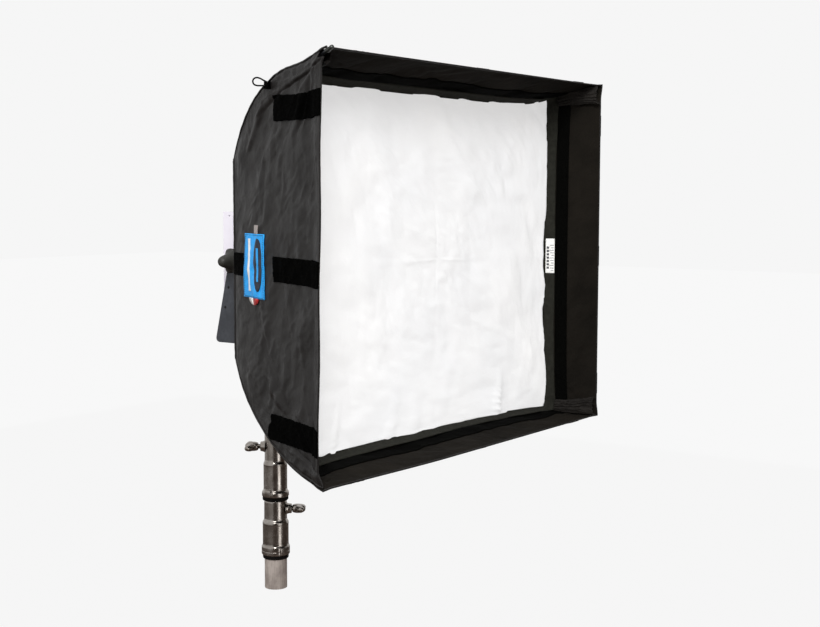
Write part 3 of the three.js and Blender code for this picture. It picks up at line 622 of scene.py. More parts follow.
def set_back(wall, t, d):
    """How far the front edge of a wall falls back between the rod tips."""
    if wall == "left":
        most = 0.0168 - 0.0133 * t + 0.0009 * np.cos(2 * np.pi * (t - 0.165) / 0.195)
        upper = most * np.clip((HALF_H - t) / 0.020, 0, 1)
        lower = 0.011 + (most - 0.011) * np.clip((HALF_H + t) / 0.018, 0, 1)
        back = np.where(t > 0, upper, lower)
    elif wall == "bottom":
        back = 0.003 * smooth(0, 0.026, HALF_W - np.abs(t)) + 0.011 * smooth(-0.1, -HALF_W, t)
    else:
        back = 0.0025 * smooth(0, 0.026, half_across(wall, 0) - np.abs(t))
    return back * (1 - smooth(0, 0.055, d))


def wall_points(wall, d, t, out=0.0, relief=True):
    """Points of a wall, d behind the front, t along it, out from its outer face."""
    d, t = np.broadcast_arrays(np.asarray(d, float), np.asarray(t, float))
    lift = out + (wall_relief(wall, d, t) if relief else 0)
    w, h = half_width(d), half_height(d)
    y = FRONT_Y + d + set_back(wall, t, d)
    if wall in SIDES:
        s = -1 if wall == "left" else 1
        level = np.clip(np.abs(t) / h, 0, 1)
        reach = w - side_bow(d) * (1 - level ** 2)
        if s < 0:
            reach = reach + 0.0025 * smooth(0.18, 0.31, d)
        else:
            reach = reach - 0.009 * np.exp(-((d - 0.052) / 0.03) ** 2) * (1 - level ** 8)
        z = t - np.where(t > 0, sag(d) * level ** 6, 0)
        z = z * (stretch(1, d) if s > 0 else 1)
        return np.stack([s * (reach + 0.91 * lift), y + 0.41 * lift, CENTRE_Z + z], -1)
    s, bow = (-1, BOTTOM_BOW) if wall == "bottom" else (1, TOP_BOW)
    hold = np.where(t < 0, 24, 2.2 if s < 0 else 5.6)
    corner = np.clip(np.abs(t) / (w - 0.003), 0, 1) ** hold
    reach = h - bow * pull(d) * (1 - corner) - (sag(d) * corner if s > 0 else 0)
    if s < 0:
        reach = reach + (0.0015 + 0.0045 * (0.5 - 0.5 * t / w)) * (1 - d / DEPTH)
    reach = reach * stretch(0.5 + 0.5 * t / w, d)
    slope = np.clip(0.471 * 2.3 * HALF_H / DEPTH * np.clip(d / DEPTH, 0, 2) ** 1.3, 0, 2)
    c = 1 / np.sqrt(1 + slope ** 2)
    return np.stack([t, y + slope * c * lift, CENTRE_Z + s * (reach + c * lift)], -1)


def stretch(across, d):
    """The opening is held slightly taller towards its right side."""
    return 1 + 0.011 * across * (1 - np.clip(d / DEPTH, 0, 1))


def patch_on_wall(wall, d0, d1, t0, t1, low, high, nd, nt, ragged=0.0, seed=5, narrow=False, skew=0.0):
    """A thin slab that lies on a wall between two offsets; its rear end may be skewed."""
    a, b = np.linspace(0, 1, nd)[:, None], np.linspace(0, 1, nt)[None, :]
    d = d0 + (d1 - d0 + skew * (t1 - t0) * (b - 0.5)) * a
    t = t0 + (t1 - t0) * b + 0 * a
    if narrow:
        t = t + (t0 + t1) / 2 * (half_width(d) / HALF_W - 1)
    if ragged:
        rim_d = smooth(0.99, 1.0, a) + 0 * b
        rim_t = smooth(0.96, 1.0, b) - smooth(0.96, 1.0, 1 - b) + 0 * a
        d = d + rim_d * ragged * layered(t * 420, 0.5 + 0 * t, seed, 2)
        t = t + rim_t * ragged * layered(d * 420, 7.5 + 0 * d, seed + 1, 2)
    fuzz = ragged * 0.3 * layered(d * 420, t * 420, seed + 2, 2) if ragged else 0
    upper = wall_points(wall, d, t, high + fuzz)
    lower = wall_points(wall, d, t, low)
    return slab(upper, lower, flip=wall in ("left", "top"))


def add_walls():
    for wall in WALLS:
        nd, nt = ((150, 300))
        a = np.linspace(0, 1, nd)[:, None]
        b = np.linspace(-1, 1, nt)[None, :]
        b = 0.5 * b + 0.5 * np.sin(np.pi / 2 * b)
        d = DEPTH * a + 0 * b
        across = half_across(wall, d)
        t = across * b
        open_corner = 1 - smooth(0.012, 0.024, d)
        if wall == "left":
            t = np.minimum(t, across - 0.013 * open_corner)
        elif wall == "top":
            t = np.maximum(t, -across + 0.006 * open_corner)
        upper = wall_points(wall, d, t, 0.0)
        lower = wall_points(wall, d, t, -CLOTH)
        verts, faces = slab(upper, lower, flip=wall in ("left", "top"))
        count = (nd - 1) * (nt - 1)
        inner_d = np.repeat(np.linspace(0, DEPTH, nd)[:-1], nt - 1)
        mats = np.zeros(len(faces), int)
        mats[count:2 * count] = np.where(inner_d < SCREEN_D + 0.004, 1, 2)
        obj = place(f"{wall}_wall_cloth", verts, faces, [M["cloth"], M["lip"], M["lining"]], "head",
                    face_mats=mats)
        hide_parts(f"{wall}_panel")


def add_seams():
    """Bound seams where two walls meet, along the rods."""
    for name, sx, sz in CORNERS:
        wall = "left" if sx < 0 else "right"
        d = np.linspace(0.004 if name == "top_left" else 0.0, DEPTH - 0.0005, 150)
        wob = 0.0007 * noise2(d * 60, 2.0, len(name))
        line = wall_points(wall, d, sz * half_height(d), 0.0, relief=False)
        line[:, 2] += sz * wob
        r = (0.0017 + 0.0003 * noise2(d * 90, 5.0, 80)) * (1 - 0.5 * smooth(0.27, 0.325, d))
        verts, faces = tube_mesh(line, r, 10)
        place(f"{name}_seam", verts, faces, M["cloth"], "head")


def add_rear_seams():
    """Bound seams where the walls meet the rear cloth."""
    for wall in WALLS:
        reach = float(half_across(wall, DEPTH))
        t = np.linspace(-reach, reach, 160)
        line = wall_points(wall, DEPTH - 0.0012, t, -0.0012, relief=False)
        r = 0.0029 + 0.0002 * noise2(t * 60, 4.0, 44)
        verts, faces = tube_mesh(line, r, 12)
        place(f"{wall}_rear_seam", verts, faces, M["cloth"], "head")


def add_hem():
    """Rolled front edge of each wall."""
    for wall in WALLS:
        reach = half_across(wall, 0) - 0.001
        t = np.linspace(-reach + (0.005 if wall == "top" else 0), reach - (0.012 if wall == "left" else 0), 240)
        line = wall_points(wall, 0.0012, t, -0.0009)
        r = 0.0014 + 0.0002 * noise2(t * 55, 1.0, 33)
        verts, faces = tube_mesh(line, r, 10)
        place(f"{wall}_front_hem", verts, faces, M["cloth"], "head")


def add_tabs():
    for wall in WALLS:
        parts = []
        sideways = wall in SIDES
        for k, t in enumerate(SIDE_TABS if sideways else TOP_TABS):
            start, end = (-0.0004, SIDE_TAB_ENDS[k]) if sideways else (0.0035, 0.170)
            skew = -0.18 if k == 0 and sideways else 0.04
            parts.append(patch_on_wall(wall, start, end, t - TAB_HALF, t + TAB_HALF, 0.0002, 0.0022,
                                       170, 42, 0.0010, 100 + 7 * k, not sideways, skew))
        obj = joined(f"{wall}_touch_tabs", parts, M["tape"], "head")
        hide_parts(f"{wall}_tabs")
        stitches(wall)


def stitches(wall):
    """A row of lockstitches that holds each tab and the hem."""
    parts = []
    places = SIDE_TABS if wall in SIDES else TOP_TABS
    reach = half_across(wall, 0) - 0.02
    for t in np.arange(-reach, reach, 0.0042):
        if any(abs(t - c) < 0.022 for c in places):
            continue
        line = wall_points(wall, np.array([0.0125, 0.0125]), np.array([t, t + 0.003]), 0.0002)
        parts.append(tube_mesh(line, 0.00028, 5))
    joined(f"{wall}_hem_stitches", parts, M["thread"], "head")


def add_lip():
    for wall in WALLS:
        nt = 160
        d = np.linspace(TAPE_FROM, TAPE_TO, 9)[:, None]
        reach = half_across(wall, d) - 0.018
        t = reach * np.linspace(-1, 1, nt)[None, :]
        fuzz = 0.0003 * noise2(d * 500, t * 500, 44)
        upper = wall_points(wall, d, t, -0.0030 + fuzz)
        lower = wall_points(wall, d, t, -0.0017)
        verts, faces = slab(upper, lower, flip=wall not in ("left", "top"))
        obj = place(f"{wall}_hook_strip", verts, faces, M["hook"], "head")
        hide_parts(f"{wall}_lip_tape")


def add_corner_pockets():
    """Gathered cloth that wraps each rod's front end and fills the corner."""
    for index, (name, sx, sz) in enumerate(c for c in CORNERS if c[0] != "bottom_left"):
        n, m = 90, 80
        start = 0.014 if sx < 0 else 0.001
        long = 0.067 if sx > 0 else 0.034
        d = start + long * np.linspace(0, 1, n)[:, None]
        a = np.linspace(0, np.pi / 2, m)[None, :]
        go = (d - start) / long
        tall = (0.031 - 0.012 * go ** 0.8) if sx > 0 else (0.016 - 0.004 * go)
        wide = (0.016 - 0.003 * go) if sx > 0 else (0.013 - 0.002 * go)
        bend = a * 11 + 2.2 * noise2(a * 1.5 + index, d * 34, 620 + index)
        fold = 0.0040 * np.abs(np.sin(bend)) ** 0.8 * np.sin(2 * a) ** 0.5 * (1 - 0.4 * go)
        fold += 0.0016 * ridges(a * 5 + 0 * d, d * 70 + a * 4, 640 + 5 * index) * np.sin(2 * a) ** 0.5
        lip = 0.0018 * noise2(a * 5, 3.0 + index, 660) * np.exp(-(d - start) / 0.004)
        skins = []
        for thick in (0.0, 0.0012):
            inx = 0.0026 + (wide + fold - thick) * np.cos(a) ** 0.8
            inz = 0.0026 + (tall + fold - thick) * np.sin(a) ** 0.8
            x = half_width(d) - 0.0040 * np.sin(a) * (sx > 0) - inx
            z = (half_height(d) - (sag(d) if sz > 0 else 0) - inz) * (stretch(1, d) if sx > 0 else 1)
            skins.append(np.stack([sx * x, FRONT_Y + d + lip + 0 * a, CENTRE_Z + sz * z], -1))
        verts, faces = slab(skins[0], skins[1], flip=sx * sz < 0)
        obj = place(f"{name}_corner_pocket", verts, faces, M["pocket"], "head")


# ---- screen --------------------------------------------------------------

def screen_loop(d, inset, n=64):
    """Points round the screen's edge at depth d, clear of the rods in the corners."""
    runs = []
    for wall, flip in (("right", 1), ("top", -1), ("left", -1), ("bottom", 1)):
        reach = float(half_across(wall, d)) - (0.0155 if wall in SIDES else 0.0105)
        s = np.linspace(-1, 1, n)
        t = reach * (0.5 * s + 0.5 * np.sin(np.pi / 2 * s)) * flip
        runs.append(wall_points(wall, d, t, -0.0038 - inset, relief=False))
    p = np.concatenate(runs)
    p[:, 1] = FRONT_Y + d
    return p


def add_screen():
    loops = []
    for d, inset in ((BAND_FROM, 0.0), (0.0740, 0.0002), (0.0790, 0.0004), (0.0850, 0.0006), (0.0876, 0.0014),
                     (0.0884, 0.0028)):
        p = screen_loop(d, inset)
        k = np.arange(len(p))
        free = 1 if d < 0.073 else 0.4
        p[:, 1] += 0.0016 * free * noise2(k * 0.21, 0.5, 61)
        p[:, 2] += 0.0006 * free * noise2(k * 0.33, 2.5, 62)
        loops.append(p)
    outer = np.array(loops)
    inward = outer - np.array([0, 0, CENTRE_Z])
    inward[..., 1] = 0
    inner = outer - 0.0012 * inward / np.linalg.norm(inward, axis=-1, keepdims=True)
    verts, faces = closed_band(inner, outer)
    obj = place("screen_edge_band", verts, faces, M["border"], "screen")
    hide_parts("screen_border")

    rim = screen_loop(0.0892, 0.0015)
    rings = 130
    s = np.linspace(0, 1, rings) ** 0.85
    c = np.array([0, float(rim[:, 1].mean()), CENTRE_Z])
    flat = c + s[:, None, None] * (rim - c)
    x, z = flat[..., 0], flat[..., 2] - CENTRE_Z
    flat[..., 1] = rim[:, 1].mean() + screen_relief(x, z, 1 - s[:, None])
    flat[..., 1] += (s[:, None] ** 8) * (rim[:, 1] - rim[:, 1].mean())
    top = flat.reshape(-1, 3)
    under = top + np.array([0, 0.0007, 0])
    m = len(rim)
    a = np.arange(m)
    b = (a + 1) % m
    faces = []
    for i in range(1, rings - 1):
        q = np.stack([i * m + a, i * m + b, (i + 1) * m + b, (i + 1) * m + a], -1)
        faces += [q, q[:, ::-1] + rings * m]
    e = (rings - 1) * m
    faces.append(np.stack([e + a, e + b, e + b + rings * m, e + a + rings * m], -1))
    faces = [tuple(f) for f in np.concatenate(faces)]
    faces += [(0, m + j, m + (j + 1) % m)[::-1] for j in range(m)]
    faces += [(rings * m, rings * m + m + j, rings * m + m + (j + 1) % m) for j in range(m)]
    obj = place("front_screen_cloth", np.concatenate([top, under]), faces, M["screen"], "screen")
    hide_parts("front_screen")
    add_care_label()


def screen_relief(x, z, inward):
    """Fold creases, slack puckers along the edge and faint crumples of the white cloth."""
    side = 0.5 * noise2(x * 6, z * 6, 302)
    relief = 0.0012 * noise2(x * 4 + side, z * 4, 301) + 0.0014 * layered(x * 11 + side, z * 11 - side, 304, 3)
    relief += 0.0046 * crumple(x * 9 + side, z * 8 + x * 3, 303) + 0.0022 * crumple(x * 24 - z * 7, z * 22 + side, 309)
    relief += 0.0009 * crumple(x * 60 + z * 9, z * 56 + side, 310)
    wander = 0.004 * noise2(z * 7, 0, 5)
    relief += 0.0011 * np.exp(-((x + 0.010 - wander) / 0.0026) ** 2) * (0.6 + 0.4 * noise2(z * 14, 0, 15))
    wander = 0.004 * noise2(x * 7, 0, 6)
    relief -= 0.0011 * np.exp(-((z + 0.003 - wander) / 0.0026) ** 2) * (0.6 + 0.4 * noise2(x * 12, 0, 16))
    pull_line = smooth(-0.02, -0.25, z) * smooth(0.10, 0.0, np.abs(x - 0.02))
    relief += 0.0012 * pull_line * ridges(x * 16 - z * 3, z * 4, 305)
    relief += 0.0007 * smooth(0.1, 0.32, x) * ridges(x * 13, z * 7 + x * 4, 308)
    near = np.exp(-inward / 0.05) * smooth(0, 0.015, inward)
    relief += 0.0018 * near * noise2(x * 24 + 3 * z, z * 24 - 3 * x, 307)
    for at in np.random.default_rng(5).uniform(-0.32, 0.30, 6):
        pinch = np.exp(-((x - at - 0.25 * (z + 0.28)) / (0.004 + 0.05 * np.abs(z + 0.28))) ** 2)
        relief -= 0.0034 * pinch * smooth(-0.19, -0.27, z)
    return relief


def add_care_label():
    """The white label on the right of the band, with plain marks in place of its words."""
    low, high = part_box("screen_label")
    front_d = 0.0885

    def skins(d, z, offsets):
        lift = 0.0006 + 0.0016 * np.abs(np.sin(z * 46)) * (front_d - d) * 50
        return [wall_points("right", d, z, -0.0052 - lift - k, relief=False) for k in offsets]

    def mark(z, tall, d0, d1, count):
        d = np.linspace(d0, d1, count)[:, None]
        z = z + np.array([[0, tall]])
        return slab(*skins(d, z, (0.0003, 0.0008)))

    d = np.linspace(0.0722, front_d, 8)[:, None]
    start = low.z - CENTRE_Z
    z = np.linspace(start, high.z - CENTRE_Z, 30)[None, :]
    verts, faces = slab(*skins(d, z, (0, 0.0005)))
    obj = place("care_label", verts, faces, M["white"], "screen")
    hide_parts("screen_label")
    lines = [mark(start + 0.004 + 0.0047 * k, 0.0016, 0.0738, 0.0790 + 0.0012 * (k % 3), 6) for k in range(11)]
    joined("care_label_lines", lines, M["print"], "screen")
    blocks = [mark(start + 0.008 + 0.0062 * k, 0.0042, 0.0822, 0.0866, 5) for k in range(7)]
    joined("care_label_blocks", blocks, M["print_dark"], "screen")


def add_baffle():
    """The inner diffuser, hung by four corner straps."""
    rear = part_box("inner_baffle")[0].y
    wide, high = float(half_width(BAFFLE_D)), float(half_height(BAFFLE_D))
    w, h = wide - 0.070, high - 0.062
    n = 60
    x = np.linspace(-w, w, n)[:, None]
    z = np.linspace(-h, h, n)[None, :]
    slack = 0.004 * layered(x * 6, z * 6, 401, 2) * np.cos(x / w * 1.4) * np.cos(z / h * 1.4)
    p = np.stack([x + 0 * z, rear + 0.0004 + slack, CENTRE_Z + z + 0 * x], -1)
    parts = [slab(p, p + np.array([0, 0.0008, 0]))]
    reach = 0.0178
    for sx, sz in ((-1, -1), (-1, 1), (1, -1), (1, 1)):
        a = np.array([sx * (w - 0.012), sz * (h - 0.012)])
        b = np.array([sx * (wide - reach), sz * (high - reach)])
        side = np.array([b[1] - a[1], a[0] - b[0]])
        side /= np.linalg.norm(side)
        s = np.linspace(0, 1, 20)[:, None, None]
        k = np.linspace(-1, 1, 6)[None, :, None]
        q = a + (b - a) * s + side * k * (0.014 - 0.008 * s)
        y = rear + 0.0006 + 0.001 * np.sin(k * 2 + 4 * s)
        strip = np.concatenate([q[..., :1], y, CENTRE_Z + q[..., 1:]], -1)
        parts.append(slab(strip, strip + np.array([0, 0.0008, 0]), flip=sx * sz > 0))
    # The baffle uses the screen material, so it carries the same painted glow.
    obj = joined("baffle_cloth", parts, M["screen"], "head")
    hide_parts("inner_baffle")


# ---- rear of the bank ----------------------------------------------------

def rounded_ring(hx, hz, r, n=160):
    """Points round a rounded rectangle, as x and z arrays."""
    pts = []
    for cx, cz, a0 in ((hx - r, hz - r, 0), (-hx + r, hz - r, 90), (-hx + r, -hz + r, 180), (hx - r, -hz + r, 270)):
        for a in np.radians(a0 + np.linspace(0, 90, 9)):
            pts.append((cx + r * math.cos(a), cz + r * math.sin(a)))
    pts.append(pts[0])
    p = np.array(pts)
    along = np.concatenate([[0], np.cumsum(np.linalg.norm(np.diff(p, axis=0), axis=1))])
    at = np.linspace(0, along[-1], n, endpoint=False)
    return np.stack([np.interp(at, along, p[:, 0]), np.interp(at, along, p[:, 1])], -1)


def add_rear_cloth():
    """The cloth behind the walls, gathered round the head, and the cuff that closes on it."""
    n = 320
    hx, hz = float(half_width(DEPTH)) + 0.0006, float(half_height(DEPTH)) + 0.0006
    outer = rounded_ring(hx, hz, 0.004, n)
    outer[:, 0] -= 0.0030 * smooth(0, -0.2, outer[:, 0])
    inner = rounded_ring(0.1250, 0.0780, 0.006, n)
    outer = outer[np.argsort(np.arctan2(outer[:, 1] / 0.161, outer[:, 0] / 0.239))]
    inner = inner[np.argsort(np.arctan2(inner[:, 1] / 0.0792, inner[:, 0] / 0.1262))]
    s = np.linspace(0, 1, 60)[:, None]
    turn = np.arctan2(outer[:, 1] / 0.161, outer[:, 0] / 0.239)[None, :]
    p = outer[None] * (1 - s[..., None]) + inner[None] * s[..., None]
    gather = 0.0026 * np.sin(np.pi * s) ** 0.7 * noise2(turn * 11, s * 1.5, 501)
    gather = gather + 0.0018 * s * noise2(turn * 30, s, 502)
    gather = gather * smooth(0, 0.08, s) + 0.0007 * layered(p[..., 0] * 60, p[..., 1] * 60, 503, 2)
    up = np.stack([p[..., 0], FRONT_Y + DEPTH + 0.0016 + gather, CENTRE_Z + p[..., 1]], -1)
    band = closed_band(up, up - np.array([0, 0.0014, 0]))
    obj = joined("rear_cloth", [band], M["cloth"], "head")
    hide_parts("rear_panel")

    # The cuff that closes round the head, with a channel for its elastic.
    low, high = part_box("rear_cuff")
    s = np.linspace(0, 1, 46)[:, None]
    turn = np.linspace(0, 2 * np.pi, 480, endpoint=False)[None, :]
    base = rounded_ring(0.1262, 0.0792, 0.007, 480)[None]
    squeeze = 0.0012 * np.sin(40 * turn) * smooth(0.1, 0.8, s) + 0.0009 * noise2(turn * 22, s * 3, 511)
    channel = 0.0016 * np.exp(-((s - 0.82) / 0.12) ** 2)
    way = base / np.linalg.norm(base, axis=-1, keepdims=True)
    grow = way * (squeeze + channel)[..., None]
    y = low.y + (high.y - low.y) * s + 0 * turn
    up, down = (np.stack([q[..., 0], y, CENTRE_Z + q[..., 1]], -1)
                for q in (base + grow, base - way * 0.0012 + grow * 0.6))
    obj = joined("rear_cuff_cloth", [closed_band(up, down)], M["cloth"], "head")
    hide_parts("rear_cuff")


def closed_band(upper, lower):
    """A slab whose second direction closes on itself."""
    n, m = upper.shape[:2]
    a = np.arange(m)
    b = (a + 1) % m
    faces = []
    for i in range(n - 1):
        q = np.stack([i * m + a, i * m + b, (i + 1) * m + b, (i + 1) * m + a], -1)
        faces += [q, q[:, ::-1] + n * m]
    e = (n - 1) * m
    faces.append(np.stack([a, a + n * m, b + n * m, b], -1))
    faces.append(np.stack([e + a, e + b, e + b + n * m, e + a + n * m], -1))
    return np.concatenate([upper.reshape(-1, 3), lower.reshape(-1, 3)]), np.concatenate(faces)


# ---- rods, labels, loop --------------------------------------------------

def add_rods():
    for name, sx, sz in CORNERS:
        def at(x, d, z):
            z = z - (float(sag(d)) if sz > 0 else 0)
            return (sx * x, FRONT_Y + d, CENTRE_Z + sz * z * (float(stretch(1, d)) if sx > 0 else 1))

        path = [at(0.128, 0.310, 0.092), at(0.150, 0.3086, 0.107), at(0.184, 0.305, 0.130), at(0.213, 0.298, 0.149)]
        tip = {"bottom_left": 0.052, "top_left": -0.0020}.get(name, 0.014)
        for d in (0.27, 0.24, 0.2, 0.15, 0.1, 0.065, 0.045, tip):
            inset = 0.0014 if name == "top_left" and d < 0.02 else 0.0054
            path.append(at(float(half_width(max(d, 0))) - 0.0048, d, float(half_height(d)) - inset))
        verts, faces = tube_mesh(curve_points(path, 160), 0.0028, 16)
        obj = place(f"{name}_bow_rod", verts, faces, M["rod"], "head")
        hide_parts(f"{name}_rod")
        way = Vector(path[-1]) - Vector(path[-2])
        outline = rounded_outline([(0, -0.014), (0.0032, -0.014), (0.0036, -0.013), (0.0036, -0.008),
                                   (0.0030, -0.0065), (0.0030, -0.001), (0.0033, 0.000), (0.0031, 0.0035, 0.002),
                                   (0, 0.0045)], 0.0005)
        material = M["gunmetal" if name == "top_left" else "plastic"]
        cap = turned(f"{name}_rod_tip", outline, material, "head", origin=path[-1], axis=way, segments=40)
        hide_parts(f"{name}_rod_cap")


def add_labels():
    """The blue side label with plain marks, its two tags and the strap behind it."""
    left = partial(patch_on_wall, "left")
    obj = joined("side_label_cloth", [left(0.2040, 0.2760, -0.0560, 0.0440, 0.0002, 0.0016, 40, 60, skew=-0.05)],
                 M["blue"], "head")
    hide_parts("side_label")
    # A plain oval and a plain bar woven into the label.
    turn = np.linspace(0, 2 * np.pi, 96, endpoint=False)[None, :]
    s = np.linspace(0, 1, 12)[:, None]
    d = 0.2240 + 0.0145 * s * np.cos(turn)
    t = -0.004 + 0.041 * s * np.sin(turn)
    up, down = (wall_points("left", d, t, out)[1:] for out in (0.0021, 0.0014))
    joined("side_label_oval", [closed_band(up, down), fan(up[0])], M["blue_dark"], "head")
    for name, patch, material, slot in (
            ("side_label_bar", left(0.2210, 0.2270, -0.030, 0.022, 0.0020, 0.0025, 8, 40), "blue", "label_blue"),
            ("side_label_stripe", left(0.2520, 0.2590, -0.046, 0.036, 0.0015, 0.0020, 8, 50), "white", "label_white")):
        joined(name, [patch], M[material], "head")
    edge = []
    for d0, d1, t0, t1 in ((0.206, 0.272, 0.0420, 0.0420), (0.206, 0.275, -0.054, -0.054),
                           (0.206, 0.206, -0.053, 0.041), (0.2755, 0.2710, -0.053, 0.041)):
        count = int(max(abs(d1 - d0), abs(t1 - t0)) / 0.0034)
        for i in range(count):
            s = np.array([i, i + 0.7]) / count
            edge.append(tube_mesh(wall_points("left", d0 + (d1 - d0) * s, t0 + (t1 - t0) * s, 0.0018), 0.0003, 5))
    joined("side_label_stitches", edge, M["blue_dark"], "head")
    tag = left(0.2245, 0.2400, 0.0440, 0.0575, 0.0004, 0.0018, 8, 12)
    joined("upper_tag", [tag], M["stripe"], "head")
    # The half-round tag below the label, white and red.
    k = np.arange(9)[:, None]
    d = 0.242 + 0.0185 * np.sqrt(1 - (k / 8.6) ** 2) * np.array([[-1, 0, 1]])
    up, down = (wall_points("left", d, -0.0562 - 0.0013 * k, out) for out in (0.0020, 0.0004))
    joined("lower_tag_white", [slab(up[:, 1:], down[:, 1:])], M["white"], "head")
    joined("lower_tag_red", [slab(up[:, :2], down[:, :2])], M["red"], "head")
    strap = left(0.2775, 0.3235, -0.0235, 0.0120, 0.0002, 0.0020, 50, 36, 0.0006, 210)
    obj = joined("rear_strap_tape", [strap], M["tape"], "head")
    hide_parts("rear_strap")


def fan(ring):
    """A flat fill of a closed ring of points."""
    c = ring.mean(0)
    verts = np.concatenate([[c], ring])
    m = len(ring)
    return verts, [(0, 1 + j, 1 + (j + 1) % m) for j in range(m)]


def add_loop():
    """The cord loop at the upper left rear and the patch its ends are sewn to."""
    d = 0.176
    top = float(half_height(d))
    t = top - 0.0040
    x, y, z = wall_points("left", d, t, 0.0036, relief=False)
    shape = [(0, 2.6), (5, 5.0), (10, 7.8), (15, 9.0), (19.3, 7.4), (21, 3.4), (19.3, -0.8), (15, -2.6),
             (10, -2.8), (5, -2.8), (0, -2.6)]
    route = [(x - 0.58 * MM * a, y + 0.815 * MM * a, z + MM * b) for a, b in shape]
    line = curve_points(route, 72)
    curve = bpy.data.curves.new("pull_loop_cord", "CURVE")
    curve.dimensions = "3D"
    spline = curve.splines.new("POLY")
    spline.points.add(len(line) - 1)
    spline.points.foreach_set("co", np.concatenate([line, np.ones((len(line), 1))], 1).ravel())
    curve.bevel_depth = 0.0012
    curve.bevel_resolution = 4
    curve.use_fill_caps = True
    curve.materials.append(M["cord"])
    obj = bpy.data.objects.new("pull_loop_cord", curve)
    bpy.context.scene.collection.objects.link(obj)
    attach(obj, "head")
    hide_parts("pull_loop")
    sewn = patch_on_wall("left", d - 0.009, d + 0.007, top - 0.0115, top - 0.0005, 0.0002, 0.0052, 20, 16)
    patch = joined("loop_patch_cloth", [sewn], M["tape"], "head")
    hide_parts("loop_patch")


# ---- head and yoke -------------------------------------------------------

def repaint(node, material):
    obj = NODES[node]
    obj.data.materials.clear()
    obj.data.materials.append(M[material])
    return obj


def add_knob(side):
    """Six-lobed knob turned about X, with a long tapering hub."""
    name = "left" if side < 0 else "right"
    rings = [(0.0155, 0.0, 0), (0.0195, 0.0006, 0.4), (0.0205, 0.003, 1), (0.0205, 0.013, 1), (0.0192, 0.0155, 0.8),
             (0.0166, 0.0172, 0.25), (0.0150, 0.0195, 0), (0.0128, 0.025, 0), (0.0112, 0.031, 0), (0.0100, 0.0355, 0),
             (0.0082, 0.0405, 0), (0.0058, 0.0432, 0), (0.0030, 0.0445, 0)]
    seg = 144
    verts, faces = [], []
    for r, h, lobe in rings:
        for i in range(seg):
            a = 2 * math.pi * i / seg
            wave = (0.5 + 0.5 * math.cos(6 * a)) ** 0.8
            q = r + lobe * (0.0034 * wave - 0.0022 * (1 - wave))
            verts.append((side * (KNOB_X + h), PIVOT[0] + q * math.cos(a), PIVOT[1] + q * math.sin(a)))
    for k in range(len(rings) - 1):
        for i in range(seg):
            j = (i + 1) % seg
            quad = (k * seg + i, k * seg + j, (k + 1) * seg + j, (k + 1) * seg + i)
            faces.append(quad if side > 0 else quad[::-1])
    cap = tuple((len(rings) - 1) * seg + i for i in range(seg))
    back = tuple(range(seg))
    faces += [cap, back[::-1]] if side > 0 else [cap[::-1], back]
    obj = place(f"{name}_lobed_knob", verts, faces, M["knob"], f"{name}_knob")
    modifier(obj, "SUBSURF", levels=1, render_levels=1)
    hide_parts(f"{name}_tilt_knob")


def screw(name, x, y, z, side, r):
    """A plain pan-head screw in the head, its axis along X."""
    outline = rounded_outline([(r, 0), (r, 0.0006, 0.0004), (r * 0.75, 0.0014, 0.001), (0, 0.0018)], 0.0004)
    turned(name, outline, M["gunmetal"], "head", origin=(x, y, z), axis=(side, 0, 0), segments=32)


def add_head():
    for node, mat in (("head_housing", "plastic"), ("led_board", "emitter"), ("front_lens", "lens"),
                      ("heatsink", "heatsink"), ("control_box", "plastic"), ("display_window", "window"),
                      ("power_inlet", "plastic"), ("dimmer_knob", "plastic"), ("power_rocker", "plastic"),
                      ("speed_ring", "ring"), ("left_pivot_stud", "steel"), ("right_pivot_stud", "steel"),
                      ("left_pivot_washer", "rubber"), ("right_pivot_washer", "rubber"), ("yoke_nut", "steel"),
                      ("junior_pin", "steel"), ("yoke_frame", "yoke"), ("left_side_plate", "white_paint"),
                      ("right_side_plate", "white_paint")):
        soften(repaint(node, mat), 0.0005)
    for side, name in ((-1, "left"), (1, "right")):
        for k, (y, z) in enumerate(((-0.104, 0.068), (-0.004, -0.068), (-0.104, -0.068), (-0.055, 0.068))):
            screw(f"{name}_plate_screw_{k + 1}", side * PLATE_X, y, CENTRE_Z + z, side, 0.0031)
        add_knob(side)
    arm_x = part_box("yoke_frame")[1].x
    for side, name in ((-1, "left"), (1, "right")):
        # Painted shade: a near-black disc sits just inside each hole in the yoke arm, standing in for the shade within
        # it.
        for k, (y, z) in enumerate(((0.024, -0.047), (0.032, -0.082))):
            hole_shade_outline = rounded_outline([(0, -0.0026), (0.0023, -0.0026), (0.0023, -0.0004, 0.0002), (0, -0.0004)], 0.0002)
            turned(f"{name}_arm_hole_shade_{k + 1}", hole_shade_outline, M["hole"], "yoke", axis=(side, 0, 0), segments=32,
                   origin=(side * arm_x, PIVOT[0] + y, PIVOT[1] + z))
    rear_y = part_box("control_box")[1].y
    for k in range(11):
        a = math.radians(-120 + 24 * k)
        x, z = -0.078 + 0.0155 * math.sin(a), 0.573 + 0.0155 * math.cos(a)
        turned(f"dial_mark_{k + 1}", [(0.0007, 0), (0.0007, 0.0003), (0, 0.0003)], M["white"], "head",
               origin=(x, rear_y, z), axis=(0, 1, 0), segments=10)


# ---- stand ---------------------------------------------------------------

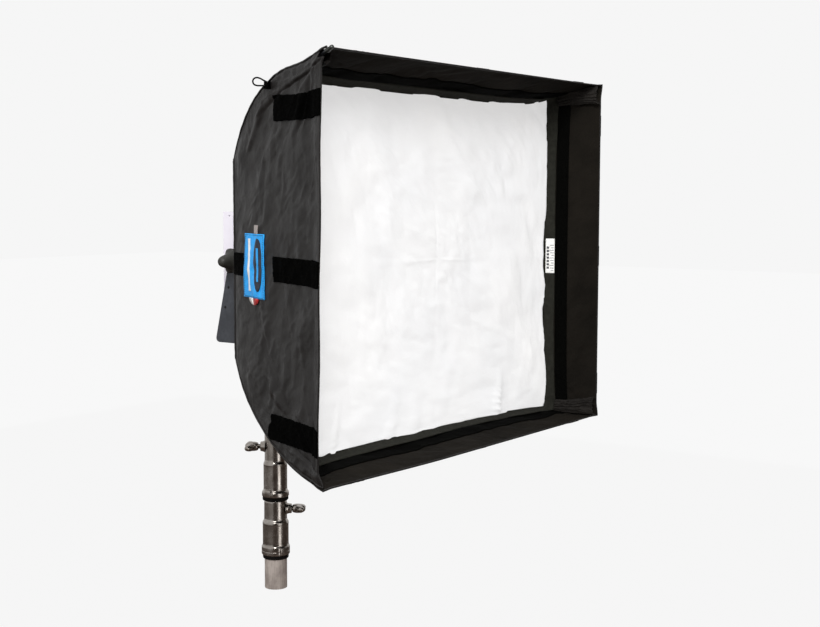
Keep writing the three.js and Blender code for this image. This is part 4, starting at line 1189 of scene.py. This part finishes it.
def t_handle(name, z, turn, body, node, bore):
    """Cast T-handle on its screw, pointing out from the stand axis."""
    roll = math.radians(86)
    middle = Vector((0, 0, z))
    out = Vector((math.cos(math.radians(turn)), math.sin(math.radians(turn)), 0))
    side = Vector((-out.y, out.x, 0))
    bar_way = Vector((0, 0, 1)) * math.cos(roll) - side * math.sin(roll)
    start, end, steps = bore + 0.0005, 0.036, 160
    thread = [tuple(out * (start + (end - start) * k / (steps - 1)) + middle) for k in range(steps)]
    crests = [0.0042 + 0.0004 * math.sin(k * 1.4) for k in range(steps)]
    neck = [(0.0305, 0.0064), (0.033, 0.0078), (0.038, 0.0088), (0.044, 0.0088), (0.049, 0.0079), (0.053, 0.0062),
            (0.0555, 0.0030)]
    neck_line = [tuple(out * r + middle) for r, _ in neck]
    s = np.linspace(-1, 1, 41)
    bar = [tuple(out * (0.0430 + 0.0100 * v * v) + bar_way * (0.0200 * v) + middle) for v in s]
    bar_r = [0.0020 + 0.0046 * (1 - abs(v) ** 5) ** 0.5 + 0.0012 * math.cos(v * 2.2) for v in s]
    parts = [tube_mesh(thread, crests, 20), tube_mesh(neck_line, [r for _, r in neck], 32),
             tube_mesh(bar, bar_r, 24)]
    obj = joined(name, parts, M["casting"], body)
    modifier(obj, "SUBSURF", levels=1, render_levels=1)
    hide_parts(node)


def boss(name, z, turn, r0, r1, radius, body):
    out = (math.cos(math.radians(turn)), math.sin(math.radians(turn)), 0)
    outline = rounded_outline([(0.0051, r1 - 0.004), (0.0051, r1, 0.0004), (radius, r1, 0.0014),
                               (radius + 0.0006, r0 + 0.004, 0.002), (radius + 0.0030, r0)], 0.001)
    turned(name, outline[::-1], M["casting"], body, origin=(0, 0, z), axis=out, segments=56)


def add_stand():
    # Column tube with the collar casting that clamps the riser.
    outline = [(0.0183, 0), (0.0207, 0, 0.0004), (0.0207, 0.124, 0.0006), (0.0183, 0.124)]
    obj = turned("column_pipe", rounded_outline(outline, 0.0005), M["tube"], "column", closed=True)
    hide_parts("column_tube")
    outline = rounded_outline([
        (0.0211, 0.0633), (0.0252, 0.0633), (0.0260, 0.0646), (0.0261, 0.0700, 0.002), (0.0257, 0.0705),
        (0.0260, 0.0716), (0.0260, 0.0786), (0.0246, 0.0800), (0.0241, 0.0812), (0.0238, 0.0840), (0.0238, 0.1190),
        (0.0241, 0.1215), (0.0236, 0.1252), (0.0218, 0.1275), (0.0210, 0.1300), (0.0208, 0.1620), (0.0204, 0.1644),
        (0.0180, 0.1644), (0.0180, 0.1244), (0.0211, 0.1244)], 0.0009, 4)
    obj = turned("collar_casting", outline, M["casting"], "column", closed=True)
    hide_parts("column_collar")
    boss("collar_boss", 0.148, STAND_TURN, 0.0195, 0.0300, 0.0088, "column")
    ring("collar_rubber_ring", 0.0561, 0.0630, 0.0211, 0.0240, "column", "collar_ring")
    t_handle("collar_t_handle", 0.148, STAND_TURN, "collar_lock", "collar_t_screw", 0.0180)
    # Riser and receiver casting; the pin that carries the yoke is the imported part, painted in add_head.
    outline = [(0.0153, 0.018), (0.0175, 0.018, 0.0004), (0.0175, 0.228, 0.0004), (0.0153, 0.228)]
    obj = turned("riser_pipe", rounded_outline(outline, 0.0004), M["tube"], "riser", closed=True)
    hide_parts("riser_tube")
    outline = rounded_outline([
        (0.0179, 0.1719), (0.0240, 0.1719), (0.0248, 0.1730), (0.0248, 0.1800), (0.0240, 0.1815), (0.0225, 0.1832),
        (0.0219, 0.1850), (0.0217, 0.1870), (0.0217, 0.2295), (0.0219, 0.2315), (0.0214, 0.2345), (0.0200, 0.2370),
        (0.0194, 0.2400), (0.0193, 0.2990), (0.0184, 0.3018), (0.0146, 0.3020), (0.0146, 0.2285), (0.0179, 0.2285)],
        0.0009, 4)
    obj = turned("receiver_casting", outline, M["casting"], "riser", closed=True)
    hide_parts("receiver")
    boss("receiver_boss", 0.264, STAND_TURN + 180, 0.0180, 0.0270, 0.0088, "riser")
    add_lug("receiver_lug", -173, 0.0248, 0.1738, 0.1865, "riser")
    add_lug("collar_lug", -108, 0.0261, 0.0650, 0.0790, "column")
    ring("receiver_rubber_ring", 0.1649, 0.1716, 0.0179, 0.0240, "riser", "receiver_ring")
    t_handle("receiver_t_handle", 0.264, STAND_TURN + 180, "receiver_lock", "receiver_t_screw", 0.0146)


def ring(name, z0, z1, r0, r1, body, node):
    outline = rounded_outline([(r0, z0), (r1 - 0.0006, z0), (r1, (z0 + z1) / 2, 0.004), (r1 - 0.0006, z1), (r0, z1)],
                              0.0012)
    obj = turned(name, outline, M["rubber"], body, closed=True)
    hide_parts(node)


def add_lug(name, way, radius, z0, z1, body):
    """Cast stop lug on the rim of a casting, way degrees round the stand axis."""
    way = math.radians(way)
    out, side = Vector((math.cos(way), math.sin(way), 0)), Vector((-math.sin(way), math.cos(way), 0))
    verts = []
    for r in (radius - 0.004, radius + 0.0022):
        for a in (-0.0072, 0.0072):
            for z in (z0, z1):
                verts.append(out * r + side * (a - math.copysign(0.0008, a)) + Vector((0, 0, z)))
    faces = [(0, 1, 3, 2), (4, 6, 7, 5), (0, 4, 5, 1), (2, 3, 7, 6), (0, 2, 6, 4), (1, 5, 7, 3)]
    obj = place(name, verts, faces, M["casting"], body)
    modifier(obj, "BEVEL", width=0.0013, segments=4)


# ---- stage ---------------------------------------------------------------

def add_stage():
    white = Paint("floor", 0.9, Specular_IOR_Level=0.0, Emission_Color=(0.918, 0.918, 0.918, 1),
                  Emission_Strength=1.0)
    white.color(white.noise(2, 2), [(0.3, (0.02, 0.02, 0.02, 1)), (0.7, (0.022, 0.022, 0.022, 1))])
    panel("floor", level_square(30, FLOOR_Z), white.mat)
    world = bpy.data.worlds.new("studio")
    bpy.context.scene.world = world
    world.use_nodes = True
    sky = world.node_tree.nodes["Background"].inputs
    sky["Color"].default_value = (0.921, 0.921, 0.921, 1)
    sky["Strength"].default_value = 1.0
    bpy.context.scene.view_settings.view_transform = "Standard"
    dark = Paint("flag_cloth", 0.9)
    dark.color(dark.noise(3, 3), [(0.3, srgb(88, 76, 68)), (0.7, srgb(104, 92, 84))])
    flag("flag_behind", (-3.7, -4.3, 1.2), 7.0, 6.4, dark.mat)
    flag("flag_right", (3.4, -4.4, 1.2), 6.6, 6.4, dark.mat)
    flat = panel("flag_below", level_square(7, FLOOR_Z + 0.05), dark.mat)
    flat.visible_camera = False
    area_light("key", (-2.7, -1.9, 2.5), 1.2, 120)
    area_light("front", (-1.3, -3.6, 0.9), 1.2, 11)
    area_light("low", (-0.7, -3.4, -0.6), 1.2, 13)


def level_square(half, z):
    return [(-half, -half, z), (half, -half, z), (half, half, z), (-half, half, z)]


def panel(name, corners, material):
    mesh = bpy.data.meshes.new(name)
    mesh.from_pydata(corners, [], [(0, 1, 2, 3)])
    mesh.materials.append(material)
    obj = bpy.data.objects.new(name, mesh)
    bpy.context.scene.collection.objects.link(obj)
    return obj


def flag(name, at, wide, high, material):
    """A dark studio flag that faces the object and shapes its reflections."""
    side = Vector((-at[1], at[0], 0)).normalized() * wide / 2
    low, top = Vector((at[0], at[1], at[2] - high / 2)), Vector((at[0], at[1], at[2] + high / 2))
    obj = panel(name, [low - side, low + side, top + side, top - side], material)
    obj.visible_camera = False


def area_light(name, at, size, power):
    data = bpy.data.lights.new(name, "AREA")
    data.shape = "RECTANGLE"
    data.size = data.size_y = size
    data.energy = power
    obj = bpy.data.objects.new(name, data)
    obj.location = at
    way = Vector(LIGHTS_AIM) - Vector(at)
    obj.rotation_euler = way.to_track_quat("-Z", "Y").to_euler()
    bpy.context.scene.collection.objects.link(obj)


add_camera()
add_loop()
add_walls()
add_seams()
add_rear_seams()
add_hem()
add_tabs()
add_lip()
add_corner_pockets()
add_screen()
add_baffle()
add_rear_cloth()
add_rods()
add_labels()
add_head()
add_stand()
add_stage()
